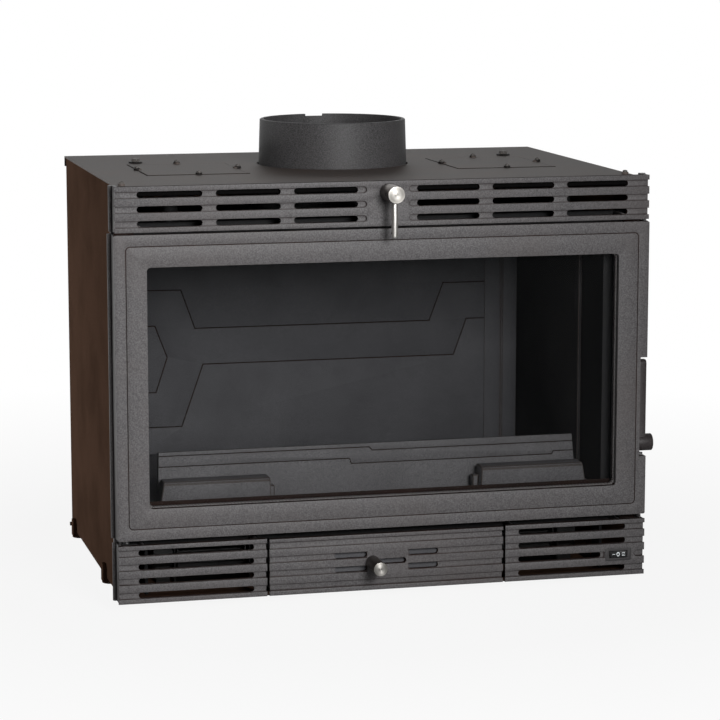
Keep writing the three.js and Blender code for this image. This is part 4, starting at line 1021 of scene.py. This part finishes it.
def braided_rope(node, half_thickness):
    """A braid along the box of the node, half_thickness wide in the plane of the pane."""
    low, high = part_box(node)
    centre = middle(node)
    half_depth = (high.y - low.y) / 2
    half_width = high.x - half_thickness
    half_height = (high.z - low.z) / 2 - half_thickness
    straight = 4 * (half_width + half_height - 2 * bend_radius)
    length = straight + 2 * math.pi * bend_radius
    strands_along = round(length / strand_pitch)
    bpy.ops.object.select_all(action="DESELECT")
    bpy.ops.mesh.primitive_grid_add(
        x_subdivisions=int(length / grid_step), y_subdivisions=grid_sides, size=1
    )
    rope = bpy.context.object
    rope.name = node + "_braid"
    for vertex in rope.data.vertices:
        along, around = vertex.co.x + 0.5, vertex.co.y + 0.5
        (x, z), (out_x, out_z) = rounded_path(
            half_width, half_height, bend_radius, (along % 1) * length
        )
        angle = 2 * math.pi * around
        left = math.cos(math.pi * strands_along * along + strands_around * angle)
        right = math.cos(math.pi * strands_along * along - strands_around * angle)
        thick = 1 - strand_swell + strand_swell * max(abs(left), abs(right)) ** 2
        outward = half_thickness * thick * math.cos(angle)
        vertex.co = (
            centre.x + x + out_x * outward,
            centre.y + half_depth * thick * math.sin(angle),
            centre.z + z + out_z * outward,
        )
    only(rope)
    bpy.ops.object.mode_set(mode="EDIT")
    bpy.ops.mesh.select_all(action="SELECT")
    bpy.ops.mesh.remove_doubles(threshold=0.00005)
    bpy.ops.mesh.normals_make_consistent(inside=False)
    bpy.ops.object.mode_set(mode="OBJECT")
    bpy.ops.object.shade_smooth()
    rope.data.materials.append(rope_fibre)
    print(node, "braided,", round(length, 3), "m long,", len(rope.data.polygons), "faces")
    return settle(rope, body_of[node], "sealing_rope", node)


glass_rope_half, door_rope_half = 0.0059, 0.0032
braided_rope("glass_rope", glass_rope_half)
braided_rope("door_rope", door_rope_half)

# %% [markdown]
# ## Floor, light and camera
#
# The insert stands on a pale floor in a bright, even studio. The front is brightest on its left,
# so the key lamp is a small soft box in front with a narrow spread, aimed at the left end. A large
# white card farther off fills the right end, a low lamp on the left gives the brown side its tone,
# and a weak one behind draws the rear edges. The background is white through Light Path: the
# camera sees it, and so do glass and gloss that look to the back, so that no extra light falls on
# the object, and the floor keeps a soft shadow. The camera stands at the photograph's angle with a
# long lens.

# %% Floor
# Round the insert the camera sees nine tenths of the white, and farther off all of it. The tenth
# that is left shows the shadow. In gloss and through glass the floor is white only towards the back.
bpy.ops.object.select_all(action="DESELECT")
bpy.ops.mesh.primitive_plane_add(size=90, location=(0, 0, 0))
floor = bpy.context.object
floor.name = "studio_floor"
floor_finish, tree, output = new_material("pale studio floor")
place = add_node(tree, "ShaderNodeTexCoord").outputs["Object"]
distance = add_node(tree, "ShaderNodeVectorMath", {"operation": "LENGTH"}, {0: place})
far = add_node(
    tree, "ShaderNodeMapRange",
    {"From Min": 0.5, "From Max": 1.5, "To Min": 0.9, "To Max": 1.0}, {"Value": distance.outputs[1]},
)
depth = add_node(tree, "ShaderNodeSeparateXYZ", {}, {0: place})
behind = add_node(
    tree, "ShaderNodeMapRange", {"From Min": -0.2, "From Max": 0.6}, {"Value": depth.outputs[1]}
)
light_path = add_node(tree, "ShaderNodeLightPath")
in_picture = add_node(
    tree, "ShaderNodeMath", {"operation": "MULTIPLY"},
    {0: light_path.outputs["Is Camera Ray"], 1: far.outputs[0]},
)
mirrored = add_node(
    tree, "ShaderNodeMath", {"operation": "MAXIMUM"},
    {0: light_path.outputs["Is Glossy Ray"], 1: light_path.outputs["Is Transmission Ray"]},
)
mirrored = add_node(
    tree, "ShaderNodeMath", {"operation": "MULTIPLY"}, {0: mirrored.outputs[0], 1: behind.outputs[0]}
)
share = add_node(
    tree, "ShaderNodeMath", {"operation": "MAXIMUM"},
    {0: in_picture.outputs[0], 1: mirrored.outputs[0]},
)
pale = add_node(tree, "ShaderNodeBsdfDiffuse", {"Color": colour("#b4b4b4")})
white = add_node(tree, "ShaderNodeEmission", {"Color": (1, 1, 1, 1), "Strength": 1.0})
mixed = add_node(
    tree, "ShaderNodeMixShader", {}, {0: share.outputs[0], 1: pale.outputs[0], 2: white.outputs[0]}
)
tree.links.new(mixed.outputs[0], output.inputs[0])
floor.data.materials.append(floor_finish)
print("floor", floor.dimensions.x, "m wide")

# %% Surroundings
# Gloss sees the white only where it looks well to the back, so faces turned to the viewer stay
# dark.
world = bpy.data.worlds.new("bright studio")
bpy.context.scene.world = world
world.use_nodes = True
tree = world.node_tree
tree.nodes.clear()
output = tree.nodes.new("ShaderNodeOutputWorld")
direction = add_node(tree, "ShaderNodeTexCoord").outputs["Generated"]
depth = add_node(tree, "ShaderNodeSeparateXYZ", {}, {0: direction})
behind = add_node(
    tree, "ShaderNodeMapRange", {"From Min": 0.55, "From Max": 0.9}, {"Value": depth.outputs[1]}
)
light_path = add_node(tree, "ShaderNodeLightPath")
mirrored = add_node(
    tree, "ShaderNodeMath", {"operation": "MULTIPLY"},
    {0: light_path.outputs["Is Glossy Ray"], 1: behind.outputs[0]},
)
direct = add_node(
    tree, "ShaderNodeMath", {"operation": "MAXIMUM"},
    {0: light_path.outputs["Is Camera Ray"], 1: light_path.outputs["Is Transmission Ray"]},
)
seen = add_node(
    tree, "ShaderNodeMath", {"operation": "MAXIMUM"}, {0: mirrored.outputs[0], 1: direct.outputs[0]}
)
studio_fill = add_node(tree, "ShaderNodeBackground", {"Color": (1, 1, 1, 1), "Strength": 0.06})
backdrop = add_node(tree, "ShaderNodeBackground", {"Color": (1, 1, 1, 1), "Strength": 1.0})
mixed = add_node(
    tree, "ShaderNodeMixShader", {},
    {0: seen.outputs[0], 1: studio_fill.outputs[0], 2: backdrop.outputs[0]},
)
tree.links.new(mixed.outputs[0], output.inputs[0])
print("world", world.name)

# %% Lamps and camera
def lamp(name, place, target, size, watts):
    """A rectangular soft lamp at place that shines on target."""
    bpy.ops.object.light_add(type="AREA", location=place)
    light = bpy.context.object
    light.name = name
    light.data.shape = "RECTANGLE"
    light.data.size, light.data.size_y = size
    light.data.energy = watts
    light.rotation_euler = (Vector(target) - Vector(place)).to_track_quat("-Z", "Y").to_euler()
    return light


# Each lamp has its place, the point it is aimed at, its width and height, and its watts.
key = lamp("front_softbox", (0.1, -2.3, 1.0), (-0.45, -0.2, 0.35), (0.7, 0.7), 13)
key.data.spread = math.radians(90)
lamp("white_card_in_front", (0.7, -3.9, 0.75), (0.7, -0.2, 0.75), (2.0, 1.4), 7)
lamp("left_softbox", (-2.0, 1.0, 0.2), (-0.34, 0.1, 0.35), (1.0, 0.34), 12)
lamp("rear_softbox", (0.3, 2.4, 1.6), (0, 0.2, 0.35), (1.6, 0.8), 3.5)

# The place and direction of the camera were solved from straight edges of the insert.
camera_place = (-0.86507, -3.56159, 0.86768)
looks_along = Vector((0.23822742, 0.95815661, -0.15869344))
lens_mm, film_mm = 136.35, 36
bpy.ops.object.camera_add(location=camera_place)
camera = bpy.context.object
camera.name = "photograph_camera"
camera.rotation_euler = looks_along.to_track_quat("-Z", "Y").to_euler()
camera.data.lens = lens_mm
camera.data.sensor_width = film_mm
bpy.context.scene.camera = camera
bpy.context.scene.view_settings.view_transform = "Standard"
print("camera at", tuple(round(v, 3) for v in camera.location))
